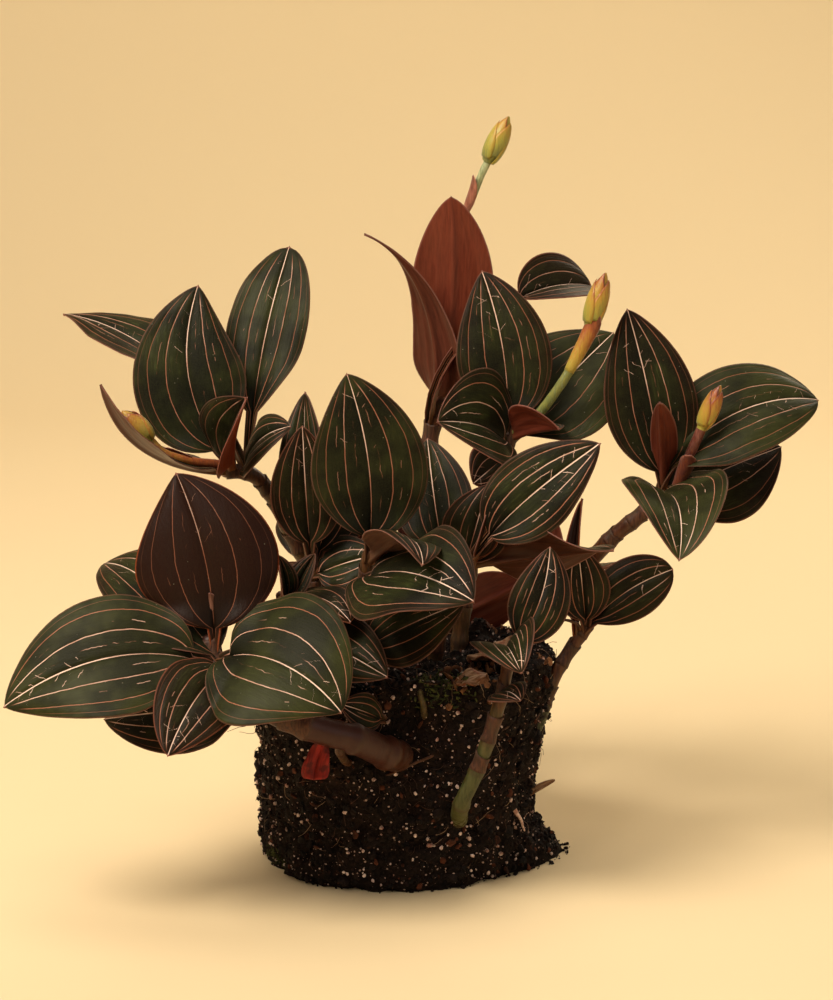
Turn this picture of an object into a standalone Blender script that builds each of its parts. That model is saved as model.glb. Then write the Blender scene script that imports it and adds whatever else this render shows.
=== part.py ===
"""Jewel orchid, Ludisia discolor, standing on the bare root ball that it grew in.

Run with: blender --background --python part.py

The frame has +Z up, with its origin at the centre of the root ball's flat base. The front, where the
thick front stem leans out to the left, faces -Y. Sizes are in millimetres and degrees until a mesh
is made, when MM turns them into metres.
"""

import math

import bmesh
import bpy
from mathutils import Matrix, Vector, noise

MM = 0.001

# The root ball was shaped by a common 10 cm nursery pot. It leans a little to the left at its foot.
BALL_HEIGHT = 71.0
BALL_BASE_RADIUS = 43.7
BALL_TOP_RADIUS = 50.5
BALL_LEAN = -3.7
BALL_SIDES = 36
BALL_COURSES = 8
BALL_CROWN_RINGS = 3
BALL_ROUGHNESS = 2.2
ROUGHNESS_SIZE = 11.0

# Mix has crumbled out at the foot on the right, and it is hollow at the front where the thick stem
# comes out. Lumps of old bark and dead leaf stand on its top.
SPILL_REACH = 15.0
SPILL_HEIGHT = 15.0
HOLLOW_CENTRE = Vector((4.0, -50.0, 57.0))
HOLLOW_RADIUS = 15.0
HOLLOW_DEPTH = 9.0
LUMPS = [((25, 9), 8.0), ((40, 16), 3.0), ((-2, 8), 3.0), ((-32, 28), 3.0)]
LUMP_RADIUS = 7.0

# A stem never touches the mix that it stands in.
CLEARANCE = 0.3

LEAF_THICKNESS = 0.9
PETIOLE_HALF_WIDTH = 2.2
PETIOLE_FOLD = 62.0
TIP_HALF_WIDTH = 0.35
HANDLE = 0.36

# Where rows cross a leaf's blade, as shares of its length, and columns, as shares of its half width.
BLADE_ROWS = (0.0, 0.14, 0.36, 0.6, 0.83, 1.0)
COLUMNS = (-1.0, -0.5, 0.0, 0.5, 1.0)
NARROW_COLUMNS = (-1.0, 0.0, 1.0)
NARROW_HALF_WIDTH = 8.5

STEM_SIDES = 6
THICK_STEM_SIDES = 9
THICK_STEM_RADIUS = 4.0
STEM_STEP = 11.0

# Where a bud has rings, as shares of its length.
BUD_RINGS = (0.12, 0.4, 0.7, 0.9, 1.0)

LEAF_GREEN = (0.035, 0.045, 0.028)
SOIL_BROWN = (0.022, 0.013, 0.009)


class Leaf:
    """One leaf, set by where it leaves the stem, where its tip is and which way its upper side looks.

    node is the distance back from the stem's growing end. rise and droop are the angles that the
    leaf's first and last directions make with the straight line from its foot to its tip, towards and
    away from its upper side. fold is how steeply each half stands up from the midrib, curl how much
    further it turns by its edge, sway how far the midrib bows sideways, and twist how far the blade
    turns about its midrib by its tip. belly shifts the widest place, and point sharpens the tip.
    """

    def __init__(self, name, node, tip, looks, width, rise=12, droop=12, fold=12, curl=-20, sway=0.0,
                 twist=0, wave=0.0, petiole=0.14, belly=0.60, point=0.86):
        self.name = name
        self.node = node
        self.tip = Vector(tip)
        self.looks = Vector(looks)
        self.half_width = width / 2
        self.rise = math.radians(rise)
        self.droop = math.radians(droop)
        self.fold = math.radians(fold)
        self.curl = math.radians(curl)
        self.sway = sway
        self.twist = math.radians(twist)
        self.wave = wave
        self.petiole = petiole
        self.belly = belly
        self.point = point


class Shoot:
    """One leafy stem: the places it passes, from its buried foot to its growing end, and what it bears.

    A flower spike is the places that its stalk passes, the stalk's radius, and its bud's length and
    greatest radius.
    """

    def __init__(self, name, path, foot_radius, end_radius, leaves, spike=None):
        self.name = name
        self.path = [Vector(p) for p in path]
        self.foot_radius = foot_radius
        self.end_radius = end_radius
        self.leaves = leaves
        self.spike = spike


SHOOTS = [
    Shoot("shoot_upper_left", [(-20, 13, 52), (-23, 13, 75), (-31, 10, 95), (-38, 8, 110), (-44, 8, 122),
                               (-51, 7, 130), (-61, 4, 132)], 3.2, 2.4, [
        Leaf("back_left", 6, (-118, 52, 178), (0.0, -0.35, 1.0), 26, rise=44, droop=34, petiole=0.38),
        Leaf("upright", 3, (-69, 20, 192), (0.0, -1.0, 0.25), 36, sway=0.16),
        Leaf("back_right", 7, (-39, 38, 203), (-0.3, -1.0, 0.2), 28, sway=0.10, petiole=0.25),
        Leaf("side_left", 3, (-97, -30, 166), (0.5, 0.6, 0.6), 32, rise=-35, droop=-45, fold=10),
        Leaf("young", 2, (-52, -16, 159), (-0.6, -0.8, 0.3), 20, fold=42),
        Leaf("side_right", 8, (-37, -10, 149), (-0.3, -0.7, 0.9), 22, rise=45, droop=45),
    ], ([(-61, 3, 134), (-70, -2, 136), (-79, -6.5, 139.5), (-83.4, -8, 144)], 1.6, 14, 3.8)),
    Shoot("shoot_lower_left", [(0, -39, 45), (-6, -51, 50), (-15, -61, 57), (-30, -67, 63),
                               (-45, -66, 70), (-58, -60, 80), (-62, -56, 90)], 5.2, 3.0, [
        Leaf("upright", 4, (-69, -45, 140), (0.0, -1.0, 0.15), 44, fold=10, curl=-40),
        Leaf("left", 9, (-125, -70, 70), (0.0, -0.75, 0.65), 42, rise=38, droop=28, sway=-0.11),
        Leaf("right", 7, (-19, -88, 73), (0.1, -0.85, 0.6), 46, rise=45, droop=45, sway=0.14, belly=0.52),
        Leaf("front", 12, (-72, -94, 61), (0.0, -1.0, 0.3), 25, rise=50, droop=20, sway=-0.10),
        Leaf("low_back", 30, (-96, -48, 60), (0.0, -0.8, 0.6), 24),
        Leaf("back", 14, (-98, -20, 105), (-0.1, -0.5, 0.9), 32, rise=40, droop=45),
        Leaf("young", 1, (-61, -58, 103), (0.3, -0.8, 0.3), 10, fold=60),
    ]),
    Shoot("shoot_centre_front", [(-15, -26, 50), (-15, -29, 75), (-13, -31, 99), (-11, -34, 113)],
          2.8, 2.1, [
        Leaf("upright", 2, (-18, -35, 169), (0.05, -1.0, 0.1), 37),
        Leaf("front", 11, (22, -75, 105), (0.0, -0.7, 0.7), 42, rise=35, droop=40, wave=2.0),
        Leaf("front_small", 4, (6, -72, 116), (0.3, 0.2, 1.0), 22, rise=35, droop=60),
        Leaf("low_right", 34, (20, -44, 98), (0.1, -0.8, 0.6), 26),
    ]),
    Shoot("shoot_centre_left", [(-24, 1, 52), (-28, -2, 80), (-31, -5, 107)], 2.8, 2.0, [
        Leaf("upright", 1, (-34, -14, 145), (-0.1, -1.0, 0.1), 22),
        Leaf("tall", 4, (-30, 12, 160), (-0.3, -0.8, 0.3), 22, fold=30),
        Leaf("back_right", 6, (-18, 12, 146), (0.1, -1.0, 0.2), 28),
        Leaf("right", 8, (-8, -10, 106), (0.0, -0.8, 0.6), 20, rise=25, droop=20),
    ]),
    Shoot("shoot_low_left", [(-27, -22, 52), (-33, -23, 75), (-40, -22, 95)], 2.6, 1.9, [
        Leaf("front_right", 3, (-17, -48, 92), (0.3, -0.5, 0.9), 26, rise=45, droop=45),
        Leaf("young_left", 1, (-41, -24, 109), (0.5, -0.6, 0.2), 9, fold=55),
        Leaf("young_right", 3, (-29, -18, 108), (-0.4, -0.9, 0.2), 10, fold=40),
        Leaf("low_right", 13, (-5, -56, 76), (0.0, -0.8, 0.6), 25, rise=25, droop=20),
    ]),
    Shoot("shoot_tall_back", [(5, 30, 52), (6, 34, 95), (8, 36, 130), (12, 38, 152)], 3.2, 2.4, [
        Leaf("upright", 2, (16, 40, 220), (0.0, 1.0, 0.1), 29, rise=5, droop=5, sway=0.05,
             belly=0.75, point=0.75),
        Leaf("left", 10, (-13, 22, 209), (0.6, 0.5, 0.3), 24, rise=25, droop=45, sway=0.08),
        Leaf("right", 9, (65, 58, 187), (-0.1, -0.45, 0.9), 28, rise=64, droop=50, petiole=0.35),
    ], ([(13, 42, 154), (16, 47, 175), (20, 47, 209), (23, 46, 218), (26, 45, 226), (28.3, 45, 231)],
        1.3, 17, 3.6)),
    Shoot("shoot_upper_right", [(17, 2, 52), (20, 2, 85), (26, 2, 117), (36, 0, 146)], 3.0, 2.3, [
        Leaf("upright", 3, (26, 10, 198), (-0.1, -1.0, 0.15), 31, sway=-0.09),
        Leaf("left", 4, (14, -24, 154), (0.25, -0.75, 0.6), 35, rise=25, droop=20, fold=32,
             curl=-10),
        Leaf("back_right", 6, (71, 27, 175), (-0.1, -0.8, 0.6), 42),
        Leaf("young", 1, (51, -14, 149), (0.3, 0.3, 0.9), 20, fold=40),
        Leaf("low_left", 8, (23, -9, 130), (0.2, -1.0, 0.3), 17, rise=20, droop=15),
    ], ([(38, -1, 147), (44.5, -2, 152), (51, -4, 161), (56.4, -4, 170), (60, -3, 178),
         (61, -3, 181)], 1.6, 18, 4.0)),
    Shoot("shoot_middle_right", [(8, -8, 52), (11, -12, 75), (15, -17, 92), (23, -22, 108)], 2.8, 2.1, [
        Leaf("upright", 5, (28, -16, 131), (-0.2, -1.0, 0.2), 22),
        Leaf("right", 2, (67, -45, 115), (0.15, 0.5, 0.8), 26, rise=25, droop=25, curl=15),
        Leaf("high_right", 1, (63, -36, 145), (-0.2, -0.9, 0.4), 25, rise=20, petiole=0.28),
        Leaf("high_left", 14, (8, 2, 143), (-0.3, -1.0, 0.1), 26, petiole=0.28),
        Leaf("young", 0, (28, -27, 127), (0.4, -0.6, 0.3), 11, fold=60),
    ]),
    Shoot("shoot_far_right", [(32, 10, 52), (40, 10, 72), (52, 8, 88), (63, 6, 101), (71, 4, 110),
                              (79, 2, 117), (89, 0, 126)], 3.4, 2.4, [
        Leaf("upright", 1, (74, 5, 186), (0.0, -1.0, 0.2), 34),
        Leaf("high_right", 2, (138, 7, 155), (0.0, -0.7, 0.7), 34, rise=56, droop=44, sway=0.13,
             petiole=0.2),
        Leaf("low_right", 6, (127, 14, 138), (0.0, -0.8, 0.6), 38),
        Leaf("front", 5, (88, -46, 112), (0.0, -0.6, 0.8), 36, rise=48, droop=50, sway=0.07),
        Leaf("young", 1, (83, -22, 159), (0.2, 0.9, 0.1), 14, fold=50),
    ], ([(91, -4, 128), (94, -7, 138), (98, -8, 148)], 1.8, 17, 3.6)),
    Shoot("shoot_low_right", [(37, -12, 34), (44.3, -10, 48), (47.4, -6, 55.5), (50.8, -3, 63.3),
                              (56, -1, 71.5), (63, 0, 81)], 3.0, 1.9, [
        Leaf("upright", 1, (58, -4, 108), (0.0, -1.0, 0.1), 16),
        Leaf("right", 2, (90, 0, 99), (0.0, -1.0, 0.3), 20, rise=20, droop=10, sway=0.10),
        Leaf("sliver", 6, (60, 10, 121), (-0.5, -0.6, 0.2), 8, fold=50),
    ]),
    Shoot("shoot_low_front", [(18, -40, 24), (19, -50, 33), (25, -53, 48), (31, -53, 68), (35, -49, 86)],
          3.0, 2.1, [
        Leaf("upright", 2, (47, -40, 115), (0.05, -1.0, 0.1), 21, sway=-0.10),
        Leaf("front", 3, (37, -74, 84), (0.0, -0.6, 0.8), 27, rise=64, droop=55),
        Leaf("lowest", 17, (37, -66, 71), (0.0, -0.6, 0.8), 13, rise=45, droop=50),
    ]),
    Shoot("shoot_low_back", [(13, 18, 52), (14, 20, 66), (16, 21, 82)], 2.6, 2.0, [
        Leaf("right", 3, (43, 26, 97), (0.3, 0.9, 0.2), 20),
    ]),
    Shoot("shoot_rear_left", [(-20, 30, 52), (-24, 38, 72), (-26, 44, 90)], 3.0, 2.2, [
        Leaf("up", 2, (-20, 48, 148), (0.0, 1.0, 0.2), 32),
        Leaf("left", 5, (-72, 58, 87), (0.0, 0.4, 1.0), 32, rise=20, droop=20),
        Leaf("back", 8, (-34, 98, 98), (0.0, 0.3, 1.0), 34, rise=30, droop=35),
        Leaf("high_back", 3, (-6, 84, 112), (0.0, 0.6, 1.0), 28, rise=30, droop=25),
    ]),
    Shoot("shoot_rear_middle", [(6, 42, 45), (8, 50, 62), (8, 56, 84)], 2.8, 2.0, [
        Leaf("left", 4, (-20, 96, 84), (0.0, 0.3, 1.0), 28, rise=35, droop=30),
        Leaf("right", 6, (32, 98, 88), (0.1, 0.3, 1.0), 28, rise=30, droop=30),
        Leaf("up", 2, (10, 74, 118), (0.0, 1.0, 0.1), 22),
    ]),
    Shoot("shoot_rear_right", [(36, 26, 52), (42, 36, 68), (46, 42, 86)], 2.8, 2.0, [
        Leaf("up", 2, (52, 50, 108), (0.0, 1.0, 0.1), 14),
        Leaf("right", 5, (86, 60, 86), (0.0, 0.3, 1.0), 28, rise=22, droop=25),
        Leaf("back", 7, (60, 92, 86), (0.1, 0.3, 1.0), 30, rise=30, droop=30),
    ]),
]

# So many blades meet at the growing ends of these that the exact solver leaves faces that only touch.
CROWDED_SHOOTS = {"shoot_lower_left"}


def smoothstep(x):
    x = min(1.0, max(0.0, x))
    return x * x * (3.0 - 2.0 * x)


def mix(a, b, share):
    return a + (b - a) * share


def curve_through(points, step):
    """Points about one step apart on a Catmull-Rom curve through the given ones."""
    ends = [points[0] * 2 - points[1], *points, points[-1] * 2 - points[-2]]
    line = []
    for a, b, c, d in zip(ends, ends[1:], ends[2:], ends[3:]):
        count = max(1, round((c - b).length / step))
        for i in range(count):
            t = i / count
            line.append(0.5 * (2 * b + (c - a) * t + (2 * a - 5 * b + 4 * c - d) * t * t
                               + (3 * b - 3 * c + d - a) * t ** 3))
    line.append(points[-1].copy())
    return line


def back_along(line, distance):
    """The place that lies this far back from the line's end."""
    for a, b in zip(line[::-1], line[-2::-1]):
        length = (a - b).length
        if distance <= length:
            return a.lerp(b, distance / length)
        distance -= length
    return line[0].copy()


def leaf_frame(leaf, foot, t):
    """A leaf's midrib point at share t of its length, with its along, side and up directions there."""
    chord = leaf.tip - foot
    length = chord.length
    along = chord / length
    up = (leaf.looks - along * leaf.looks.dot(along)).normalized()
    side = up.cross(along)
    bow = side * leaf.sway * length
    first = foot + (along * math.cos(leaf.rise) + up * math.sin(leaf.rise)) * length * HANDLE + bow
    last = leaf.tip - (along * math.cos(leaf.droop) - up * math.sin(leaf.droop)) * length * HANDLE + bow
    s = 1.0 - t
    point = foot * s ** 3 + first * 3 * s * s * t + last * 3 * s * t * t + leaf.tip * t ** 3
    here = ((first - foot) * s * s + (last - first) * 2 * s * t + (leaf.tip - last) * t * t).normalized()
    side = (side - here * side.dot(here)).normalized()
    side = Matrix.Rotation(leaf.twist * t, 3, here) @ side
    return point, here, side, here.cross(side)


def half_width_at(leaf, t):
    """Half the leaf's width: a narrow petiole that opens into an oval, pointed blade."""
    x = max(0.0, (t - leaf.petiole) / (1.0 - leaf.petiole))
    widest = leaf.belly / (leaf.belly + leaf.point)
    peak = widest ** leaf.belly * (1.0 - widest) ** leaf.point
    blade = leaf.half_width * x ** leaf.belly * (1.0 - x) ** leaf.point / peak
    petiole = min(PETIOLE_HALF_WIDTH, 0.3 * leaf.half_width) * (1.0 - x) ** 2
    return math.hypot(blade, petiole) + TIP_HALF_WIDTH


def leaf_row(leaf, foot, t, columns):
    """Points across the leaf at share t, on its middle surface, from its right edge to its left."""
    point, _, side, up = leaf_frame(leaf, foot, t)
    half = half_width_at(leaf, t)
    opened = smoothstep(t / (leaf.petiole * 2.2))
    fold = mix(math.radians(PETIOLE_FOLD), leaf.fold, opened)
    row = []
    for v in columns:
        share = abs(v)
        slope = fold + leaf.curl * opened * share / 2
        ripple = math.sin(math.tau * (1.6 * t + (0.3 if v > 0 else 0.0))) * math.sin(math.pi * t)
        across = half * share * math.cos(slope)
        lift = half * share * math.sin(slope) + leaf.wave * ripple * share * share
        row.append(point + side * math.copysign(across, v) + up * lift)
    return row


def leaf_rows(leaf, foot):
    """The leaf's middle surface as rows of points from its foot to its tip."""
    shares = [0.0] + [mix(leaf.petiole, 1.0, x) for x in BLADE_ROWS]
    columns = NARROW_COLUMNS if leaf.half_width < NARROW_HALF_WIDTH else COLUMNS
    return [leaf_row(leaf, foot, t, columns) for t in shares]


def row_normals(rows):
    """The surface's normal at each point, on the leaf's upper side."""
    last_row, last_column = len(rows) - 1, len(rows[0]) - 1
    normals = []
    for i, row in enumerate(rows):
        line = []
        for j in range(len(row)):
            along = rows[min(i + 1, last_row)][j] - rows[max(i - 1, 0)][j]
            across = row[min(j + 1, last_column)] - row[max(j - 1, 0)]
            line.append(along.cross(across).normalized())
        normals.append(line)
    return normals


def blade_mesh(name, rows, thickness):
    """A closed blade of even thickness round the middle surface, cut into like triangles on both sides."""
    mesh = bpy.data.meshes.new(name)
    bm = bmesh.new()
    normals = row_normals(rows)
    sheets = []
    for offset in (thickness / 2, -thickness / 2):
        sheets.append([[bm.verts.new((p + n * offset) * MM) for p, n in zip(row, line)]
                       for row, line in zip(rows, normals)])
    upper, lower = sheets
    height, width = len(rows), len(rows[0])
    for i in range(height - 1):
        for j in range(width - 1):
            corners = ((i, j), (i + 1, j), (i + 1, j + 1), (i, j + 1))
            a, b, c, d = (upper[r][k] for r, k in corners)
            e, f, g, h = (lower[r][k] for r, k in corners)
            bm.faces.new((a, b, c))
            bm.faces.new((a, c, d))
            bm.faces.new((e, g, f))
            bm.faces.new((e, h, g))
    border = [(i, 0) for i in range(height)]
    border += [(height - 1, j) for j in range(1, width)]
    border += [(i, width - 1) for i in range(height - 2, -1, -1)]
    border += [(0, j) for j in range(width - 2, 0, -1)]
    for (i, j), (k, m) in zip(border, border[1:] + border[:1]):
        bm.faces.new((upper[i][j], lower[i][j], lower[k][m], upper[k][m]))
    bmesh.ops.recalc_face_normals(bm, faces=bm.faces)
    bmesh.ops.triangulate(bm, faces=bm.faces)
    bm.to_mesh(mesh)
    bm.free()
    return mesh


def tube_mesh(name, line, radii):
    """A closed round tube along the line, with a radius for each of its points."""
    sides = THICK_STEM_SIDES if radii[0] > THICK_STEM_RADIUS else STEM_SIDES
    mesh = bpy.data.meshes.new(name)
    bm = bmesh.new()
    rings = []
    side = (line[1] - line[0]).orthogonal().normalized()
    for i, (point, radius) in enumerate(zip(line, radii)):
        here = (line[min(i + 1, len(line) - 1)] - line[max(i - 1, 0)]).normalized()
        side = (side - here * side.dot(here)).normalized()
        up = here.cross(side)
        turns = [math.tau * k / sides for k in range(sides)]
        rings.append([bm.verts.new((point + side * radius * math.cos(a) + up * radius * math.sin(a)) * MM)
                      for a in turns])
    for lower, upper in zip(rings, rings[1:]):
        for k in range(sides):
            m = (k + 1) % sides
            bm.faces.new((lower[k], lower[m], upper[m], upper[k]))
    bm.faces.new(rings[0][::-1])
    bm.faces.new(rings[-1])
    bmesh.ops.triangulate(bm, faces=bm.faces)
    bm.to_mesh(mesh)
    bm.free()
    return mesh


def stem_line(shoot):
    return curve_through(shoot.path, STEM_STEP)


def stem_radii(shoot, line):
    return [mix(shoot.foot_radius, shoot.end_radius, i / (len(line) - 1)) for i in range(len(line))]


def finish_material(name, colour, roughness):
    material = bpy.data.materials.new(name)
    material.use_nodes = True
    shader = material.node_tree.nodes["Principled BSDF"]
    shader.inputs["Base Color"].default_value = (*colour, 1.0)
    shader.inputs["Roughness"].default_value = roughness
    shader.inputs["Metallic"].default_value = 0.0
    return material


def place(name, mesh, material, collection=None):
    thing = bpy.data.objects.new(name, mesh)
    (collection or bpy.context.scene.collection).objects.link(thing)
    mesh.materials.clear()
    mesh.materials.append(material)
    return thing


def keep_outer_shell(mesh):
    """Leaves only the largest closed surface: no crumb cut loose, and no pocket shut in between leaves."""
    bm = bmesh.new()
    bm.from_mesh(mesh)
    left = set(bm.verts)
    shells = []
    while left:
        edge = [left.pop()]
        shell = list(edge)
        while edge:
            near = {other for v in edge for e in v.link_edges for other in e.verts} & left
            left -= near
            edge = list(near)
            shell += edge
        shells.append(shell)
    shells.sort(key=len)
    bmesh.ops.delete(bm, geom=[v for shell in shells[:-1] for v in shell], context="VERTS")
    bm.to_mesh(mesh)
    bm.free()


def boolean_applied(thing, operation, others, solver="EXACT"):
    """Joins the other objects to this one, or cuts them from it, in one step, and then removes them."""
    helpers = bpy.data.collections.new(thing.name + "_helpers")
    bpy.context.scene.collection.children.link(helpers)
    for other in others:
        for collection in list(other.users_collection):
            collection.objects.unlink(other)
        helpers.objects.link(other)
    modifier = thing.modifiers.new("join", "BOOLEAN")
    modifier.operation = operation
    modifier.operand_type = "COLLECTION"
    modifier.collection = helpers
    modifier.solver = solver
    bpy.context.view_layer.update()
    graph = bpy.context.evaluated_depsgraph_get()
    result = bpy.data.meshes.new_from_object(thing.evaluated_get(graph))
    thing.modifiers.clear()
    result.name = thing.name
    thing.data = result
    keep_outer_shell(result)
    result.shade_smooth()
    result.set_sharp_from_angle(angle=math.radians(40))
    for other in list(helpers.objects):
        bpy.data.objects.remove(other)
    bpy.data.collections.remove(helpers)
    return thing


def bud_profile(share):
    """A bud's radius against its greatest, from its base at 0 to its pointed tip at 1."""
    return max(0.06, (share + 0.06) ** 0.55 * (1.0 - share) ** 0.75 / 0.45)


def spike_mesh(name, stem_end, path, stalk_radius, bud_length, bud_radius):
    """A stalk that leaves the stem's growing end and swells into one pointed bud."""
    line = curve_through([stem_end] + [Vector(p) for p in path], STEM_STEP * 0.7)
    radii = [stalk_radius] * len(line)
    heading = (line[-1] - line[-2]).normalized()
    start = line[-1].copy()
    for share in BUD_RINGS:
        line.append(start + heading * bud_length * share)
        radii.append(bud_radius * bud_profile(share))
    return tube_mesh(name, line, radii)


def build_shoot(shoot, material):
    """One leafy stem in one piece, its leaf stalks sunk to the middle of the stem that they grow from."""
    line = stem_line(shoot)
    stem = place(shoot.name, tube_mesh(shoot.name, line, stem_radii(shoot, line)), material)
    grown = []
    for leaf in shoot.leaves:
        foot = back_along(line, leaf.node + shoot.end_radius)
        mesh = blade_mesh(leaf.name, leaf_rows(leaf, foot), LEAF_THICKNESS)
        grown.append(place(leaf.name, mesh, material))
    if shoot.spike:
        grown.append(place("spike", spike_mesh("spike", line[-1], *shoot.spike), material))
    solver = "MANIFOLD" if shoot.name in CROWDED_SHOOTS else "EXACT"
    return boolean_applied(stem, "UNION", grown, solver)


def ball_point(angle, height, inset):
    """A place on the root ball's skin: angle round it, share of its height, and share of its radius."""
    z = BALL_HEIGHT * height
    radius = mix(BALL_BASE_RADIUS, BALL_TOP_RADIUS, height) * inset
    radius += SPILL_REACH * math.exp(-((math.remainder(angle, math.tau) - 0.05) / 0.45) ** 2) * (
        max(0.0, 1.0 - z / SPILL_HEIGHT))
    out = Vector((math.cos(angle), math.sin(angle), 0.0))
    point = out * radius + Vector((BALL_LEAN * (1.0 - height), 0.0, z))
    rough = noise.noise(point / ROUGHNESS_SIZE) * BALL_ROUGHNESS
    dent = HOLLOW_DEPTH * math.exp(-((point - HOLLOW_CENTRE).length / HOLLOW_RADIUS) ** 2)
    point += out * (rough - dent * inset)
    if height == 1.0:
        for centre, rise in LUMPS:
            apart = math.hypot(point.x - centre[0], point.y - centre[1])
            point.z += rise * math.exp(-(apart / LUMP_RADIUS) ** 2)
        point.z += rough
    return point


def build_root_ball(material, shoots):
    """The potting mix that the roots hold together: a tapered plug, crumbled at its foot on the right."""
    mesh = bpy.data.meshes.new("root_ball")
    bm = bmesh.new()
    courses = [(i / BALL_COURSES, 1.0) for i in range(BALL_COURSES + 1)]
    courses += [(1.0, 1.0 - (i + 1) / (BALL_CROWN_RINGS + 1)) for i in range(BALL_CROWN_RINGS)]
    turns = [math.tau * k / BALL_SIDES for k in range(BALL_SIDES)]
    rings = [[bm.verts.new(ball_point(angle, *course) * MM) for angle in turns] for course in courses]
    for lower, upper in zip(rings, rings[1:]):
        for k in range(BALL_SIDES):
            m = (k + 1) % BALL_SIDES
            bm.faces.new((lower[k], lower[m], upper[m], upper[k]))
    bm.faces.new(rings[0][::-1])
    bm.faces.new(rings[-1])
    bmesh.ops.triangulate(bm, faces=bm.faces)
    bm.to_mesh(mesh)
    bm.free()
    ball = place("root_ball", mesh, material)
    cutters = []
    for shoot in shoots:
        line = stem_line(shoot)
        radii = [r + CLEARANCE for r in stem_radii(shoot, line)]
        line[0] = line[0] - (line[1] - line[0]).normalized() * CLEARANCE
        cutters.append(place("hole", tube_mesh("hole", line, radii), material))
    return boolean_applied(ball, "DIFFERENCE", cutters)


def main():
    for thing in list(bpy.data.objects):
        bpy.data.objects.remove(thing)
    leaf_green = finish_material("leaf_green", LEAF_GREEN, 0.55)
    soil_brown = finish_material("soil_brown", SOIL_BROWN, 0.95)
    build_root_ball(soil_brown, SHOOTS)
    for shoot in SHOOTS:
        build_shoot(shoot, leaf_green)


if __name__ == "__main__":
    main()
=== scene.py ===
import functools
import math
import random

import bpy
from mathutils import Matrix, Vector, noise


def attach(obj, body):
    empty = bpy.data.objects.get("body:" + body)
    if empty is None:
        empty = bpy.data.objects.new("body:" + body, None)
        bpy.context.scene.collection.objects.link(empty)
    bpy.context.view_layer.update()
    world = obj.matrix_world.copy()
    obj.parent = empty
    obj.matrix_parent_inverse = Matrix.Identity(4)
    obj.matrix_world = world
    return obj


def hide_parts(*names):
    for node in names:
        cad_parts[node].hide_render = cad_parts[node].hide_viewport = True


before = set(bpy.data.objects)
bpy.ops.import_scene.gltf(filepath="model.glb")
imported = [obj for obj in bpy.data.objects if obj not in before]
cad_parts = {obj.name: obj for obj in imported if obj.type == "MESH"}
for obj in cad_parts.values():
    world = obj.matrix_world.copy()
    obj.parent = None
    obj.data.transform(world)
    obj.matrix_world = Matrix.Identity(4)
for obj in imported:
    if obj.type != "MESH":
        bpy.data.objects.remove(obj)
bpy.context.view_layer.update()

# A jewel orchid on its bare root ball. Lengths below are in millimetres and become metres
# when a mesh is made. The front faces -Y.
MM = 0.001

# The pale sweep that the plant stands on, the soft lamps round it, and the camera, a little
# above the middle of the plant and a metre in front of it. The paper is clear from behind, and
# glows a little further out, where the lamps don't reach. This section is in metres.
SWEEP_COLOUR = (0.78, 0.62, 0.375, 1)
SWEEP_WIDTH = 18.0
SWEEP_START = -9.0
SWEEP_BEND = 0.9
SWEEP_ROUNDING = 0.5
SWEEP_TOP = 2.4
SWEEP_GLOW = 0.75


def give(socket, value):
    """Links an input to another socket, or sets it to a plain value. None leaves it as it is."""
    if isinstance(value, bpy.types.NodeSocket):
        socket.id_data.links.new(value, socket)
    elif value is not None:
        socket.default_value = value


def feed(node, **values):
    """Gives values to a node's inputs by their names, and returns the node."""
    for key, value in values.items():
        give(node.inputs[key.replace("_", " ")], value)
    return node


def add(tree, kind, *values, **settings):
    """Adds a node, sets it up, and gives values to its inputs in order."""
    made = tree.nodes.new(kind)
    for key, value in settings.items():
        setattr(made, key, value)
    for socket, value in zip(made.inputs, values):
        give(socket, value)
    return made


def fade(value, low, high, start=0.0, end=1.0):
    """Goes smoothly from start to end while the value goes from low to high."""
    return add(value.id_data, "ShaderNodeMapRange", value, low, high, start, end,
               interpolation_type="SMOOTHSTEP").outputs[0]


def link(thing):
    bpy.context.scene.collection.objects.link(thing)
    return thing


def face(thing, place, aim):
    """Puts a lamp or the camera in its place, turned towards its aim."""
    thing.location = place
    thing.rotation_mode = "QUATERNION"
    thing.rotation_quaternion = (Vector(aim) - thing.location).to_track_quat("-Z", "Y")
    return link(thing)


line = [(SWEEP_START, 0.0)]
for degrees in range(0, 91, 6):
    a = math.radians(degrees)
    line.append((SWEEP_BEND + SWEEP_ROUNDING * math.sin(a), SWEEP_ROUNDING * (1 - math.cos(a))))
line.append((SWEEP_BEND + SWEEP_ROUNDING, SWEEP_TOP))
spots = [(x, y, z) for y, z in line for x in (-SWEEP_WIDTH / 2, SWEEP_WIDTH / 2)]
mesh = bpy.data.meshes.new("sweep")
mesh.from_pydata(spots, [], [(k, k + 1, k + 3, k + 2) for k in range(0, len(spots) - 2, 2)])
mesh.shade_smooth()
paper = bpy.data.materials.new("sweep_paper")
paper.use_nodes = True
tree = paper.node_tree
place = add(tree, "ShaderNodeTexCoord").outputs["Object"]
far = add(tree, "ShaderNodeVectorMath", place, (0, 0.7, 0), operation="DISTANCE").outputs["Value"]
shader = feed(tree.nodes["Principled BSDF"], Base_Color=SWEEP_COLOUR, Roughness=0.9,
              Emission_Color=SWEEP_COLOUR, Emission_Strength=fade(far, 1.3, 4.0, 0.0, SWEEP_GLOW))
seen = add(tree, "ShaderNodeMixShader", add(tree, "ShaderNodeNewGeometry").outputs["Backfacing"],
           shader.outputs[0], add(tree, "ShaderNodeBsdfTransparent").outputs[0])
feed(tree.nodes["Material Output"], Surface=seen.outputs[0])
mesh.materials.append(paper)
link(bpy.data.objects.new("sweep", mesh))

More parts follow.
